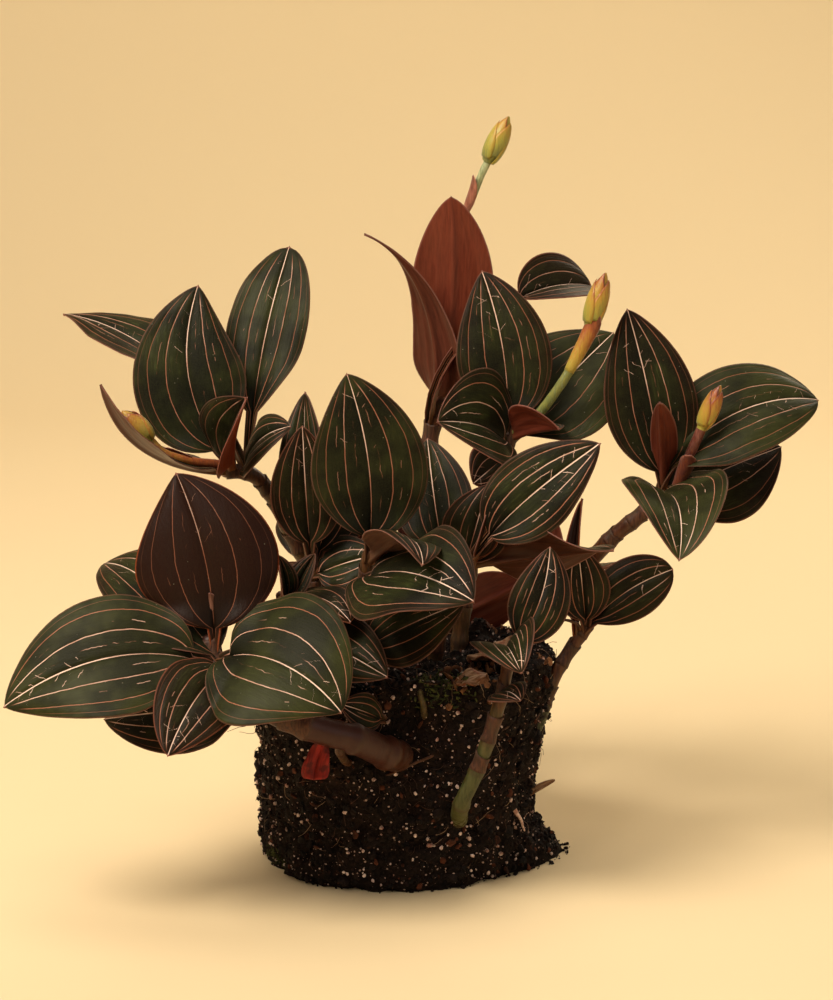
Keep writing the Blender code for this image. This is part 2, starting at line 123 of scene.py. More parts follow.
for name, place, aim, size, power, colour in (
        ("key_lamp", (-0.62, -0.58, 1.10), (0, 0, 0.12), 0.65, 20, (1.0, 0.89, 0.75)),
        ("fill_lamp", (1.1, -0.9, 0.6), (0, 0, 0.12), 0.9, 1.9, (1.0, 0.95, 0.90)),
        ("rim_lamp", (0.5, 0.9, 0.9), (0, 0, 0.14), 0.6, 6, (1.0, 0.90, 0.74)),
        ("sweep_lamp", (0.0, 0.2, 1.9), (0, 1.1, 0.4), 1.2, 8, (1.0, 0.93, 0.80))):
    light = bpy.data.lights.new(name, "AREA")
    light.shape = "DISK"
    light.size = size
    light.energy = power
    light.color = colour
    face(bpy.data.objects.new(name, light), place, aim)
world = bpy.data.worlds.new("soft_room")
world.use_nodes = True
feed(world.node_tree.nodes["Background"], Color=(1.0, 0.88, 0.70, 1), Strength=0.20)
bpy.context.scene.world = world
bpy.context.scene.view_settings.view_transform = "Standard"
lens = bpy.data.cameras.new("camera")
lens.lens = 108
lens.sensor_width = 36
bpy.context.scene.camera = face(bpy.data.objects.new("camera", lens), (0.00426, -0.98163, 0.31348),
                                (0.00426, 0, 0.12267))

# The root ball: dark peaty potting mix, held in the shape of the pot by the roots. It leans a
# little to the left at its foot, has crumbled out at the foot on the right, and is hollow in front.
BALL_HEIGHT = 71.0
BALL_BASE_RADIUS = 43.7
BALL_TOP_RADIUS = 50.5
BALL_LEAN = -3.7
BALL_SIDES = 260
BALL_COURSES = 84
BALL_CROWN_RINGS = 46
RIM_ROUNDING = 0.94
RIM_DROP = 2.6
FOOT_ROUNDING = 1.2
SPILL_REACH = 15.0
SPILL_HEIGHT = 15.0
SPILL_ANGLE = 0.05
HOLLOW_CENTRE = Vector((4.0, -50.0, 57.0))
HOLLOW_RADIUS = 15.0
HOLLOW_DEPTH = 9.0
LUMPS = [((25, 9), 8.0), ((40, 16), 3.0), ((-2, 8), 3.0), ((-32, 28), 3.0)]
LUMP_RADIUS = 7.0
PATCHES = {
    "all_over": [],
    "mossy": [((12, -40, 70), 7), ((20, -38, 70), 5), ((-43, -16, 2), 5), ((-30, 34, 70), 9),
              ((6, 46, 69), 6)],
    "littered": [((20, -36, 71), 8), ((29, -20, 72), 8), ((38, -10, 72), 7), ((-10, 30, 71), 12),
                 ((26, 22, 72), 9)],
}


def smoothstep(x):
    x = min(1.0, max(0.0, x))
    return x * x * (3.0 - 2.0 * x)


def mix(a, b, share):
    return a + (b - a) * share


def hump(x, width):
    return math.exp(-(x / width) ** 2)


def smooth_mesh(name, spots, faces):
    """A smooth mesh from points in millimetres."""
    mesh = bpy.data.meshes.new(name)
    mesh.from_pydata([p * MM for p in spots], [], faces)
    mesh.shade_smooth()
    return mesh


def note(mesh, name, values):
    """Keeps one number for each point of a mesh."""
    mesh.attributes.new(name, "FLOAT", "POINT").data.foreach_set("value", values)


def ball_point(angle, height, inset):
    """A place on the mix: angle round it, share of its height, and share of its radius."""
    z = BALL_HEIGHT * height
    radius = mix(BALL_BASE_RADIUS, BALL_TOP_RADIUS, height) * inset
    if inset == 1.0:
        radius -= RIM_DROP * smoothstep((height - RIM_ROUNDING) / (1 - RIM_ROUNDING)) ** 2
        radius -= FOOT_ROUNDING * smoothstep(1 - z / 3.0)
    spill = SPILL_REACH * hump(math.remainder(angle, math.tau) - SPILL_ANGLE, 0.45)
    radius += spill * (max(0.0, 1.0 - z / SPILL_HEIGHT)) * inset
    out = Vector((math.cos(angle), math.sin(angle), 0.0))
    point = out * radius + Vector((BALL_LEAN * (1.0 - height), 0.0, z))
    rough = noise.noise(point / 11.0) * 2.2
    dent = HOLLOW_DEPTH * hump((point - HOLLOW_CENTRE).length, HOLLOW_RADIUS)
    lumpy = noise.noise(point / 4.1) * 1.3 + noise.noise(point / 1.9) * 0.7
    pit = -1.6 * smoothstep((noise.noise(point / 6.5 + Vector((9, 4, 2))) - 0.12) / 0.3)
    if inset == 1.0:
        point += out * (rough - dent + lumpy + pit)
        point.z += rough * smoothstep((height - 0.875) / 0.125)
        point.z += lumpy * 0.6 * smoothstep(z / 6.0)
    else:
        point += out * (rough - dent) * inset
        for centre, rise in LUMPS:
            point.z += rise * hump(math.hypot(point.x - centre[0], point.y - centre[1]), LUMP_RADIUS)
        point.z += rough + lumpy * 1.3 + pit
    point.z = max(0.0, point.z)
    return point


def ball_mesh():
    courses = [(i / BALL_COURSES, 1.0) for i in range(BALL_COURSES + 1)]
    courses += [(1.0, 0.99 * (1.0 - (i + 1) / BALL_CROWN_RINGS)) for i in range(BALL_CROWN_RINGS - 1)]
    spots = [ball_point(math.tau * k / BALL_SIDES, *course) for course in courses for k in range(BALL_SIDES)]
    for spot in spots[:BALL_SIDES]:
        spot.z = 0.0
    faces = []
    for a in range(0, len(spots) - BALL_SIDES, BALL_SIDES):
        b = a + BALL_SIDES
        for k in range(BALL_SIDES):
            m = (k + 1) % BALL_SIDES
            faces.append((a + k, a + m, b + m, b + k))
    faces.append(tuple(reversed(range(BALL_SIDES))))
    faces.append(tuple(range(len(spots) - BALL_SIDES, len(spots))))
    mesh = smooth_mesh("potting_mix", spots, faces)
    for name, patches in PATCHES.items():
        share = [max((hump((p - Vector(c)).length, r) for c, r in patches), default=1.0) for p in spots]
        note(mesh, name, [x if x > 0.08 else 0 for x in share])
    return mesh


def calc(operation, *values, **settings):
    """A sum, in the tree of the first socket among its values."""
    tree = next(value.id_data for value in values if isinstance(value, bpy.types.NodeSocket))
    return add(tree, "ShaderNodeMath", *values, operation=operation, **settings).outputs[0]


def times(*values):
    return functools.reduce(functools.partial(calc, "MULTIPLY"), values)


def tint(share, a, b):
    """Mixes two colours, each a socket or three numbers."""
    made = add(share.id_data, "ShaderNodeMix", data_type="RGBA")
    for index, value in ((0, share), (6, a), (7, b)):
        give(made.inputs[index], (*value, 1) if isinstance(value, tuple) else value)
    return made.outputs[2]


def grain(place, size, detail=2.0, roughness=0.5):
    """Noise from 0 to 1 whose lumps are about size metres across."""
    return add(place.id_data, "ShaderNodeTexNoise", place, None, 1.0 / size, detail, roughness).outputs[0]


def some_cells(cells, spread, share):
    """One for the cells of a pattern whose own number is above a share, and zero for the rest."""
    return calc("GREATER_THAN", calc("FRACT", times(cells.outputs["Color"], spread)), share)


def new_finish(name, **values):
    """A material with plain values on its shader. Returns it, its tree, its shader and its place."""
    material = bpy.data.materials.new(name)
    material.use_nodes = True
    tree = material.node_tree
    shader = feed(tree.nodes["Principled BSDF"], **values)
    return material, tree, shader, add(tree, "ShaderNodeTexCoord").outputs["Object"]


def dress(shader, colour, roughness, height, strength, distance):
    """Gives a shader its colour and roughness, and the height that dents its surface."""
    bump = feed(add(shader.id_data, "ShaderNodeBump", strength, distance), Height=height)
    feed(shader, Base_Color=colour, Roughness=roughness, Normal=bump.outputs[0])


def peat_finish():
    """Near black peat with brown and rusty crumbs, fine fibres and small pale specks."""
    material, tree, shader, place = new_finish("peat", Specular_IOR_Level=0.2)
    broad = grain(place, 0.009, 3)
    fine = grain(place, 0.0013, 4, 0.65)
    rust = grain(place, 0.0035, 3)
    colour = tint(fade(fine, 0.35, 0.7), (0.0020, 0.0010, 0.0007), (0.0110, 0.0042, 0.0025))
    colour = tint(fade(broad, 0.4, 0.75, 0, 0.6), colour, (0.016, 0.007, 0.004))
    colour = tint(fade(rust, 0.64, 0.74, 0, 0.6), colour, (0.065, 0.020, 0.008))
    cells = add(tree, "ShaderNodeTexVoronoi", place, None, 620.0)
    speck = times(fade(cells.outputs["Distance"], 0.30, 0.18), some_cells(cells, 7.3, 0.87))
    lift = calc("MULTIPLY_ADD", speck, 0.3, calc("MULTIPLY_ADD", fine, 0.7, times(rust, 0.6)))
    dress(shader, tint(speck, colour, (0.48, 0.33, 0.28)), fade(fine, 0.3, 0.7, 1.0, 0.78), lift, 0.9, 0.0012)
    return material


def settle(name, mesh, node=None, finishes=()):
    """Puts a finished mesh in the scene as a piece that rides on the plant."""
    piece = link(bpy.data.objects.new(name, mesh))
    for finish in finishes:
        mesh.materials.append(finish)
    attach(piece, "root")
    if node:
        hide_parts(node)
    return piece


potting_mix = settle("potting_mix", ball_mesh(), "root_ball", [peat_finish()])

# What lies in and on the mix: crumbs of peat, chips of bark, grains of pale perlite, and fibres.
# All are sprinkled over its sides and top by one tree, each kind with its own sizes and seed.
FULL_TURN = 6.283


def new_tree(name, kind, gives, **takes):
    """A node tree with named inputs, each its plain value or its kind. Returns it and its inputs."""
    tree = bpy.data.node_groups.new(name, kind + "NodeTree")
    for key, value in takes.items():
        sort = {float: "Float", int: "Int"}.get(type(value), value)
        made = tree.interface.new_socket(key.replace("_", " "), in_out="INPUT",
                                         socket_type="NodeSocket" + sort)
        if sort != value:
            made.default_value = value
    for key, sort in gives.items():
        tree.interface.new_socket(key, in_out="OUTPUT", socket_type="NodeSocket" + sort)
    return tree, add(tree, "NodeGroupInput").outputs


def shaken(shape, fineness, reach):
    """Real geometry, each of whose points is moved a little by noise."""
    tree = shape.id_data
    real = add(tree, "GeometryNodeRealizeInstances", shape)
    place = add(tree, "GeometryNodeInputPosition").outputs[0]
    wobble = add(tree, "ShaderNodeTexNoise", place, None, fineness).outputs["Color"]
    centred = add(tree, "ShaderNodeVectorMath", wobble, (0.5, 0.5, 0.5), operation="SUBTRACT").outputs[0]
    push = feed(add(tree, "ShaderNodeVectorMath", centred, operation="SCALE"), Scale=reach)
    return feed(add(tree, "GeometryNodeSetPosition", real.outputs[0]), Offset=push.outputs[0]).outputs[0]


def close_tree(tree, shape, finish):
    real = add(tree, "GeometryNodeRealizeInstances", shape)
    done = feed(add(tree, "GeometryNodeSetMaterial", real.outputs[0]), Material=finish)
    add(tree, "NodeGroupOutput", done.outputs[0])
    return tree


def spots_above(tree, given, lowest, density):
    """Points at random on a surface, where it is higher than lowest."""
    place = add(tree, "GeometryNodeInputPosition").outputs[0]
    clear = calc("GREATER_THAN", add(tree, "ShaderNodeSeparateXYZ", place).outputs[2], lowest)
    return feed(add(tree, "GeometryNodeDistributePointsOnFaces", given["Surface"], clear),
                Density=density, Seed=given["Seed"]).outputs


def sprinkle_tree():
    """Small irregular lumps on a surface, each turned, sized, dented and sunk at random."""
    tree, given = new_tree(
        "sprinkle", "Geometry", dict(Bits="Geometry"), Surface="Geometry", Where="String",
        Per_Square_Metre=10000.0, Smallest=0.0005, Largest=0.0012, Flatness=0.6, Unevenness=0.0003,
        Standing_Out=0.0003, Lowest=0.0015, Seed=1, Finish="Material")
    where = add(tree, "GeometryNodeInputNamedAttribute", given["Where"], data_type="FLOAT")
    density = times(where.outputs["Attribute"], given["Per Square Metre"])
    spots = spots_above(tree, given, given["Lowest"], density)
    turn = feed(add(tree, "FunctionNodeRandomValue", (0, 0, 0), (FULL_TURN, FULL_TURN, FULL_TURN),
                    data_type="FLOAT_VECTOR"), Seed=given["Seed"])
    size = feed(add(tree, "FunctionNodeRandomValue", data_type="FLOAT"), Seed=given["Seed"])
    long = add(tree, "ShaderNodeMapRange", calc("POWER", size.outputs[1], 2.2), 0.0, 1.0,
               given["Smallest"], given["Largest"]).outputs[0]
    scale = add(tree, "ShaderNodeCombineXYZ", long, long, times(long, given["Flatness"]))
    out = feed(add(tree, "ShaderNodeVectorMath", spots["Normal"], operation="SCALE"),
               Scale=given["Standing Out"])
    moved = feed(add(tree, "GeometryNodeSetPosition", spots["Points"]), Offset=out.outputs[0])
    bits = feed(add(tree, "GeometryNodeInstanceOnPoints", moved.outputs[0]),
                Instance=add(tree, "GeometryNodeMeshIcoSphere", 0.5, 1).outputs["Mesh"],
                Rotation=turn.outputs[0], Scale=scale.outputs[0])
    return close_tree(tree, shaken(bits.outputs[0], 900.0, given["Unevenness"]), given["Finish"])


def grown_mesh(name, base, tree, finish, **values):
    """Runs a tree on a mesh and returns what it makes as a plain mesh in its finish."""
    helper = link(bpy.data.objects.new(name, base))
    modifier = helper.modifiers.new(name, "NODES")
    modifier.node_group = tree
    values["Finish"] = finish
    for socket in tree.interface.items_tree:
        key = socket.name.replace(" ", "_")
        if socket.item_type == "SOCKET" and key in values:
            modifier[socket.identifier] = values[key]
    graph = bpy.context.evaluated_depsgraph_get()
    mesh = bpy.data.meshes.new_from_object(helper.evaluated_get(graph))
    mesh.name = name
    bpy.data.objects.remove(helper)
    mesh.materials.clear()
    mesh.materials.append(finish)
    return mesh


def bit_finish(name, dark, pale, size, roughness=0.85, bump=0.5):
    """A mottled natural crumb that goes from one colour to the other."""
    material, _, shader, place = new_finish(name, Specular_IOR_Level=0.25)
    fine = grain(place, size * 0.4, 3, 0.6)
    share = calc("MULTIPLY_ADD", grain(place, size * 2.4, 1), 1.1, times(fine, 0.5))
    dress(shader, tint(fade(share, 0.55, 1.05), dark, pale),
          fade(fine, 0.3, 0.7, roughness + 0.08, roughness - 0.1), fine, bump, size * 0.3)
    return material


def sprinkle(name, surface, where, density, smallest, largest, flatness, unevenness, out, lowest, seed,
             finish):
    """Sprinkles one kind of bit over a surface. None of it reaches below the floor."""
    bits = grown_mesh(name, surface, sprinkles, finish, Where=where, Per_Square_Metre=float(density),
                      Smallest=smallest * MM, Largest=largest * MM, Flatness=flatness,
                      Unevenness=unevenness * MM, Standing_Out=out * MM, Lowest=lowest * MM, Seed=seed)
    for spot in bits.vertices:
        spot.co.z = max(0.0, spot.co.z)
    settle(name, bits)


sprinkles = sprinkle_tree()
peat_crumb = bit_finish("peat_crumb", (0.0018, 0.0009, 0.0006), (0.015, 0.0052, 0.0027), 0.0016)
perlite = bit_finish("perlite", (0.34, 0.16, 0.12), (0.86, 0.68, 0.60), 0.0010, 0.7, 0.3)
for name, where, *sizes, finish in (
        ("peat_crumbs", "all_over", 230000, 0.6, 2.3, 0.75, 1.6, 0.1, 1.0, 3, peat_crumb),
        ("peat_lumps", "all_over", 12000, 2.2, 4.8, 0.7, 3.0, 0.1, 1.0, 4,
         bit_finish("peat_lump", (0.0018, 0.0009, 0.0006), (0.012, 0.0046, 0.0026), 0.0022)),
        ("bark_chips", "all_over", 10000, 1.2, 4.2, 0.35, 1.3, 0.4, 1.0, 5,
         bit_finish("bark", (0.012, 0.004, 0.002), (0.11, 0.030, 0.012), 0.0018)),
        ("perlite_grains", "all_over", 40000, 0.45, 1.75, 0.7, 0.9, 0.45, 1.0, 6, perlite),
        ("perlite_dust", "all_over", 60000, 0.25, 0.6, 0.8, 0.3, 0.5, 1.0, 7,
         bit_finish("perlite_dust", (0.16, 0.075, 0.05), (0.52, 0.36, 0.29), 0.0006, 0.75, 0.2)),
        ("leaf_litter", "littered", 150000, 1.4, 4.8, 0.22, 1.6, 0.9, 1.0, 8,
         bit_finish("litter", (0.045, 0.014, 0.005), (0.30, 0.13, 0.055), 0.0020)),
        ("moss", "mossy", 1400000, 0.35, 0.9, 3.6, 0.4, 0.5, 1.0, 9,
         bit_finish("moss", (0.012, 0.018, 0.004), (0.085, 0.090, 0.020), 0.0012, 0.8, 0.2))):
    sprinkle(name, potting_mix.data, where, *sizes, finish)


def spilled_patch():
    """The floor close to the ball's foot, where crumbs that fell off it lie."""
    spots = []
    for degrees in range(-130, 51, 5):
        angle = math.radians(degrees)
        foot = ball_point(angle, 0.0, 1.0)
        out = Vector((math.cos(angle), math.sin(angle), 0))
        for reach in (0.4, 1.5 + 2.2 * hump(angle + 0.1, 0.7)):
            spots.append(foot + out * reach + Vector((0, 0, 0.2)))
    faces = [(n, n + 1, n + 3, n + 2) for n in range(0, len(spots) - 2, 2)]
    mesh = smooth_mesh("spilled_patch", spots, faces)
    note(mesh, "all_over", [1.0] * len(spots))
    return mesh


sprinkle("spilled_crumbs", spilled_patch(), "all_over", 260000, 0.4, 2.2, 0.7, 1.0, 0.15, 0.0, 12, peat_crumb)


def fibre_tree():
    """Short bent threads that stand on a surface at random."""
    tree, given = new_tree(
        "fibres", "Geometry", dict(Fibres="Geometry"), Surface="Geometry", Per_Square_Metre=10000.0,
        Shortest=0.002, Longest=0.008, Thickness=0.0001, Seed=1, Finish="Material")
    spots = spots_above(tree, given, 0.008, given["Per Square Metre"])
    arc = add(tree, "GeometryNodeCurveQuadraticBezier", 5, (-0.5, 0, 0), (0.05, 0.1, 0.42), (0.5, 0, 0.05))
    turn = add(tree, "FunctionNodeRandomValue", (-0.7, -0.7, 0), (0.7, 0.7, FULL_TURN),
               data_type="FLOAT_VECTOR")
    lean = add(tree, "FunctionNodeRotateRotation", spots["Rotation"], turn.outputs[0], rotation_space="LOCAL")
    size = add(tree, "FunctionNodeRandomValue", None, None, given["Shortest"], given["Longest"],
               data_type="FLOAT")
    laid = feed(add(tree, "GeometryNodeInstanceOnPoints", spots["Points"]), Instance=arc.outputs[0],
                Rotation=lean.outputs[0], Scale=size.outputs[1])
    ring = feed(add(tree, "GeometryNodeCurvePrimitiveCircle", 3), Radius=given["Thickness"])
    skin = feed(add(tree, "GeometryNodeCurveToMesh", shaken(laid.outputs[0], 350.0, 0.0022), ring.outputs[0]),
                Fill_Caps=True)
    return close_tree(tree, skin.outputs[0], given["Finish"])


fibres = fibre_tree()
for name, density, shortest, longest, thickness, seed, dark, pale in (
        ("brown_fibres", 26000.0, 2.0, 6.5, 0.09, 21, (0.012, 0.005, 0.003), (0.075, 0.030, 0.014)),
        ("pale_root_hairs", 4200.0, 3.0, 10.0, 0.08, 22, (0.12, 0.055, 0.030), (0.42, 0.27, 0.16))):
    threads = grown_mesh(name, potting_mix.data, fibres, bit_finish(name, dark, pale, 0.004, 0.7, 0.1),
                         Per_Square_Metre=density, Shortest=shortest * MM, Longest=longest * MM,
                         Thickness=thickness * MM, Seed=seed)
    settle(name, threads)

# The stems: fleshy, jointed rods, green where they are young or shaded and red brown in the light.
# Each one grows out of the mix, with a dry sleeve left at every joint where a lower leaf fell.
STEM_STEP = 11.0
END_TAPER = (1.0, 0.9, 0.7)
JOINT_SWELL = 0.12
JOINT_WAIST = 0.05
SLEEVE_THICKNESS = 0.2
SLEEVE_SIDES = 22


def curve_through(points, step):
    """Points about one step apart on a smooth curve through the given ones."""
    points = [Vector(p) for p in points]
    ends = [points[0] * 2 - points[1], *points, points[-1] * 2 - points[-2]]
    line = []
    for a, b, c, d in zip(ends, ends[1:], ends[2:], ends[3:]):
        count = max(1, round((c - b).length / step))
        for i in range(count):
            t = i / count
            line.append(0.5 * (2 * b + (c - a) * t + (2 * a - 5 * b + 4 * c - d) * t * t
                               + (3 * b - 3 * c + d - a) * t ** 3))
    line.append(points[-1])
    return line


def back_along(line, distance):
    """The place that lies this far back from the line's end."""
    for a, b in zip(line[::-1], line[-2::-1]):
        length = (a - b).length
        if distance <= length:
            return a.lerp(b, distance / length)
        distance -= length
    return line[0]


def stem_tree():
    """Clothes a line in a round, closed skin whose radius follows the line's own thickness."""
    tree, given = new_tree("stem_skin", "Geometry", dict(Stem="Geometry"), Line="Geometry", Sides=20,
                           Finish="Material")
    curve = add(tree, "GeometryNodeMeshToCurve", given["Line"])
    thick = add(tree, "GeometryNodeInputNamedAttribute", "thickness", data_type="FLOAT")
    ring = feed(add(tree, "GeometryNodeCurvePrimitiveCircle", given["Sides"]), Radius=1.0)
    skin = feed(add(tree, "GeometryNodeCurveToMesh", curve.outputs[0], ring.outputs[0]),
                Scale=thick.outputs["Attribute"], Fill_Caps=True)
    smooth = add(tree, "GeometryNodeSetShadeSmooth", skin.outputs[0])
    return close_tree(tree, smooth.outputs[0], given["Finish"])


stem_skin = stem_tree()


def rod_mesh(name, line, radii, sides, finish, **notes):
    """A round rod along a line, with its radius and other numbers at each point of the line."""
    mesh = bpy.data.meshes.new(name)
    mesh.from_pydata([p * MM for p in line], [(k, k + 1) for k in range(len(line) - 1)], [])
    for key, values in dict(notes, thickness=[r * MM for r in radii]).items():
        note(mesh, key, values)
    return grown_mesh(name, mesh, stem_skin, finish, Sides=sides)


def noted(tree, name):
    return add(tree, "ShaderNodeAttribute", attribute_name=name).outputs["Fac"]


def upright_streaks(place, squash, size):
    """Noise drawn out upwards, as fine streaks."""
    stretched = add(place.id_data, "ShaderNodeMapping", place, (0, 0, 0), (0, 0, 0), (1, 1, squash))
    return grain(stretched.outputs[0], size, 3, 0.6)


def stem_finish():
    """Satin skin, translucent green to red brown, with fine lengthwise streaks and darker joints."""
    material, tree, shader, place = new_finish("stem_skin", Specular_IOR_Level=0.3, Subsurface_Weight=0.15,
                                               Subsurface_Radius=(0.004, 0.0015, 0.0008))
    red = noted(tree, "redness")
    streak = upright_streaks(place, 0.16, 0.0011)
    patch = grain(place, 0.007, 2)
    green = tint(fade(streak, 0.35, 0.65), (0.034, 0.040, 0.010), (0.075, 0.075, 0.022))
    brown = tint(fade(streak, 0.35, 0.65), (0.048, 0.015, 0.006), (0.120, 0.040, 0.013))
    green = tint(fade(red, -0.6, -0.1, 1.0, 0.0), green, (0.105, 0.100, 0.028))
    brown = tint(fade(red, 1.1, 1.6), brown, (0.045, 0.012, 0.007))
    share = calc("ADD", red, calc("MULTIPLY_ADD", patch, 0.7, -0.35))
    colour = tint(fade(share, 0.1, 0.9), green, brown)
    colour = tint(times(noted(tree, "joint"), 0.55), colour, (0.062, 0.030, 0.014))
    grime = times(noted(tree, "soiled"), fade(grain(place, 0.0016, 3), 0.42, 0.56))
    lift = calc("MULTIPLY_ADD", streak, 0.5, times(patch, 0.3))
    dress(shader, tint(grime, colour, (0.022, 0.012, 0.007)),
          calc("MULTIPLY_ADD", grime, 0.4, fade(streak, 0.3, 0.7, 0.34, 0.48)),
          calc("MULTIPLY_ADD", grime, 0.6, lift), 0.45, 0.0006)
    return material


def sleeve_finish():
    """Papery sheath: thin, brown pink, ribbed lengthwise."""
    material, _, shader, place = new_finish("dry_sleeve", Sheen_Weight=0.04, Specular_IOR_Level=0.3)
    rib = upright_streaks(place, 0.12, 0.0007)
    colour = tint(fade(rib, 0.35, 0.65), (0.032, 0.010, 0.005), (0.092, 0.033, 0.014))
    colour = tint(fade(grain(place, 0.005, 3), 0.45, 0.65, 0, 0.6), colour, (0.052, 0.030, 0.012))
    dress(shader, colour, fade(rib, 0.3, 0.7, 0.48, 0.66), rib, 0.6, 0.0005)
    return material


stem_colours = stem_finish()
dry_sleeve = sleeve_finish()


def sleeve_mesh(line, radii, slant):
    """A thin open sleeve with a ragged end round a line, whose outer radii are given."""
    side = (line[1] - line[0]).orthogonal().normalized()
    spots, count, sides = [], len(line), SLEEVE_SIDES
    for inset in (0.0, SLEEVE_THICKNESS):
        for i, (point, radius) in enumerate(zip(line, radii)):
            here = (line[min(i + 1, count - 1)] - line[max(i - 1, 0)]).normalized()
            side = (side - here * side.dot(here)).normalized()
            up = here.cross(side)
            up_share = i / (count - 1)
            for k in range(sides):
                a = math.tau * k / sides
                lean = slant * up_share ** 2 * math.cos(a - slant)
                torn = noise.noise(Vector((3 * math.cos(a), 3 * math.sin(a), point.z)))
                ragged = 0.5 * up_share ** 3 * torn
                out = side * math.cos(a) + up * math.sin(a)
                spots.append(point + out * (radius - inset + ragged * 0.3) + here * (lean + ragged))
    faces, size = [], count * sides
    for k in range(sides):
        m = (k + 1) % sides
        for a in range(0, size - sides, sides):
            b = a + sides
            faces.append((a + k, a + m, b + m, b + k))
            faces.append((a + size + k, b + size + k, b + size + m, a + size + m))
        last = size - sides
        faces.append((m, k, size + k, size + m))
        faces.append((last + k, last + m, last + size + m, last + size + k))
    mesh = smooth_mesh("sleeve", spots, faces)
    mesh.materials.append(dry_sleeve)
    return mesh


def joined(name, meshes):
    """Several meshes as one, each keeping its own finish."""
    parts = [link(bpy.data.objects.new(mesh.name, mesh)) for mesh in meshes]
    with bpy.context.temp_override(active_object=parts[0], object=parts[0], selected_objects=parts,
                                   selected_editable_objects=parts):
        bpy.ops.object.join()
    mesh = parts[0].data
    bpy.data.objects.remove(parts[0])
    mesh.name = name
    return mesh


def grow_stem(name, path, foot_radius, end_radius, redness, node, spacing, grime, sleeves, blunt):
    """A stem along its path, swollen at its joints. Sleeves stand on it from a share of its length up."""
    rnd = random.Random(name)
    line = curve_through(path, 1.0)
    count = len(line)
    walked = [0.0]
    for a, b in zip(line, line[1:]):
        walked.append(walked[-1] + (b - a).length)
    total = walked[-1]
    joints, at = [], spacing * rnd.uniform(0.5, 0.9)
    while at < total - 4:
        joints.append(at)
        at += spacing * rnd.uniform(0.8, 1.2) * (1 - 0.35 * at / total)
    radii = []
    for i, far in enumerate(walked):
        radius = mix(foot_radius, end_radius, far / total)
        swell = sum(hump(far - j, 1.7) for j in joints)
        waist = sum(hump(far - j - 3.4, 2.2) for j in joints)
        radius *= 1 + JOINT_SWELL * swell - JOINT_WAIST * waist
        if blunt and far < foot_radius:
            radius *= math.sqrt(max(0.02, 1 - (1 - far / foot_radius) ** 2))
        if i >= count - 3:
            radius *= END_TAPER[i - count + 3]
        radii.append(radius)
    meshes = [rod_mesh(name, line, radii, 22, stem_colours,
                       joint=[min(1.0, sum(hump(far - j + 0.2, 0.7) for j in joints)) for far in walked],
                       redness=[mix(redness[0], redness[1], far / total) for far in walked],
                       soiled=[smoothstep(1.0 - (far - grime) / 8.0) * 0.8 for far in walked])]
    for j in joints:
        first = min(range(count), key=lambda i: abs(walked[i] - j))
        last = min(count - 1, first + max(3, round(rnd.uniform(0.35, 0.6) * spacing)))
        part = line[first:last + 1]
        if len(part) < 4 or j < sleeves * total:
            continue
        outer = [radii[first + i] + 0.16 + 0.55 * (i / len(part)) ** 3 for i in range(len(part))]
        meshes.append(sleeve_mesh(part, outer, rnd.uniform(0.6, 1.6)))
    settle(name, joined(name, meshes), node)


# The leaves: oval, pointed, fleshy and velvety, nearly black green above with copper and pale pink
# veins that run from end to end, and burgundy below. Each narrows to a folded stalk at its stem.
LEAF_THICKNESS = 0.9
ACROSS = (0, 0.035, 0.08, 0.14, 0.20, 0.26, 0.32, 0.37, 0.42, 0.48, 0.55, 0.62, 0.68, 0.73, 0.79, 0.85,
          0.91, 0.96, 1.0)
STALK_ROWS = 9
STALK_FOLD = 62
BLADE_ROWS = 36
# Degrees: rise and droop at the two ends, fold and curl across, twist. Shares: sway to one side,
# petiole. Exponents: belly and point. Colours: bronze (lighter green below 0), faded, painted
# backlight glow of the red underside (a darker brown underside below 0), and how strongly veined.
PLAIN_LEAF = dict(rise=12, droop=12, fold=12, curl=-20, sway=0.0, twist=0, wave=0.0, petiole=0.14,
                  belly=0.60, point=0.86, bronze=0.0, faded=0.0, glow=0.0, veined=1.0)


def leaf_frame(leaf, foot, t):
    """A leaf's midrib at share t of its length, with its side and up directions there."""
    chord = leaf["tip"] - foot
    length = chord.length
    along = chord / length
    up = (leaf["looks"] - along * leaf["looks"].dot(along)).normalized()
    side = up.cross(along)
    bow = side * leaf["sway"] * length
    rise, droop = math.radians(leaf["rise"]), math.radians(leaf["droop"])
    first = foot + (along * math.cos(rise) + up * math.sin(rise)) * length * 0.36 + bow
    last = leaf["tip"] - (along * math.cos(droop) - up * math.sin(droop)) * length * 0.36 + bow
    s = 1.0 - t
    point = foot * s ** 3 + first * 3 * s * s * t + last * 3 * s * t * t + leaf["tip"] * t ** 3
    here = ((first - foot) * s * s + (last - first) * 2 * s * t + (leaf["tip"] - last) * t * t).normalized()
    side = (side - here * side.dot(here)).normalized()
    side = Matrix.Rotation(math.radians(leaf["twist"]) * t, 3, here) @ side
    return point, side, here.cross(side)


def half_width_at(leaf, t):
    x = min(1.0, max(0.0, (t - leaf["petiole"]) / (1.0 - leaf["petiole"])))
    belly, sharp, half = leaf["belly"], leaf["point"], leaf["width"] / 2
    widest = belly / (belly + sharp)
    peak = widest ** belly * (1.0 - widest) ** sharp
    blade = half * x ** belly * (1.0 - x) ** sharp / peak
    stalk = min(2.2, 0.3 * half) * (1.0 - x) ** 2
    return math.hypot(blade, stalk) + mix(0.35, 0.06, smoothstep((t - 0.96) / 0.05))


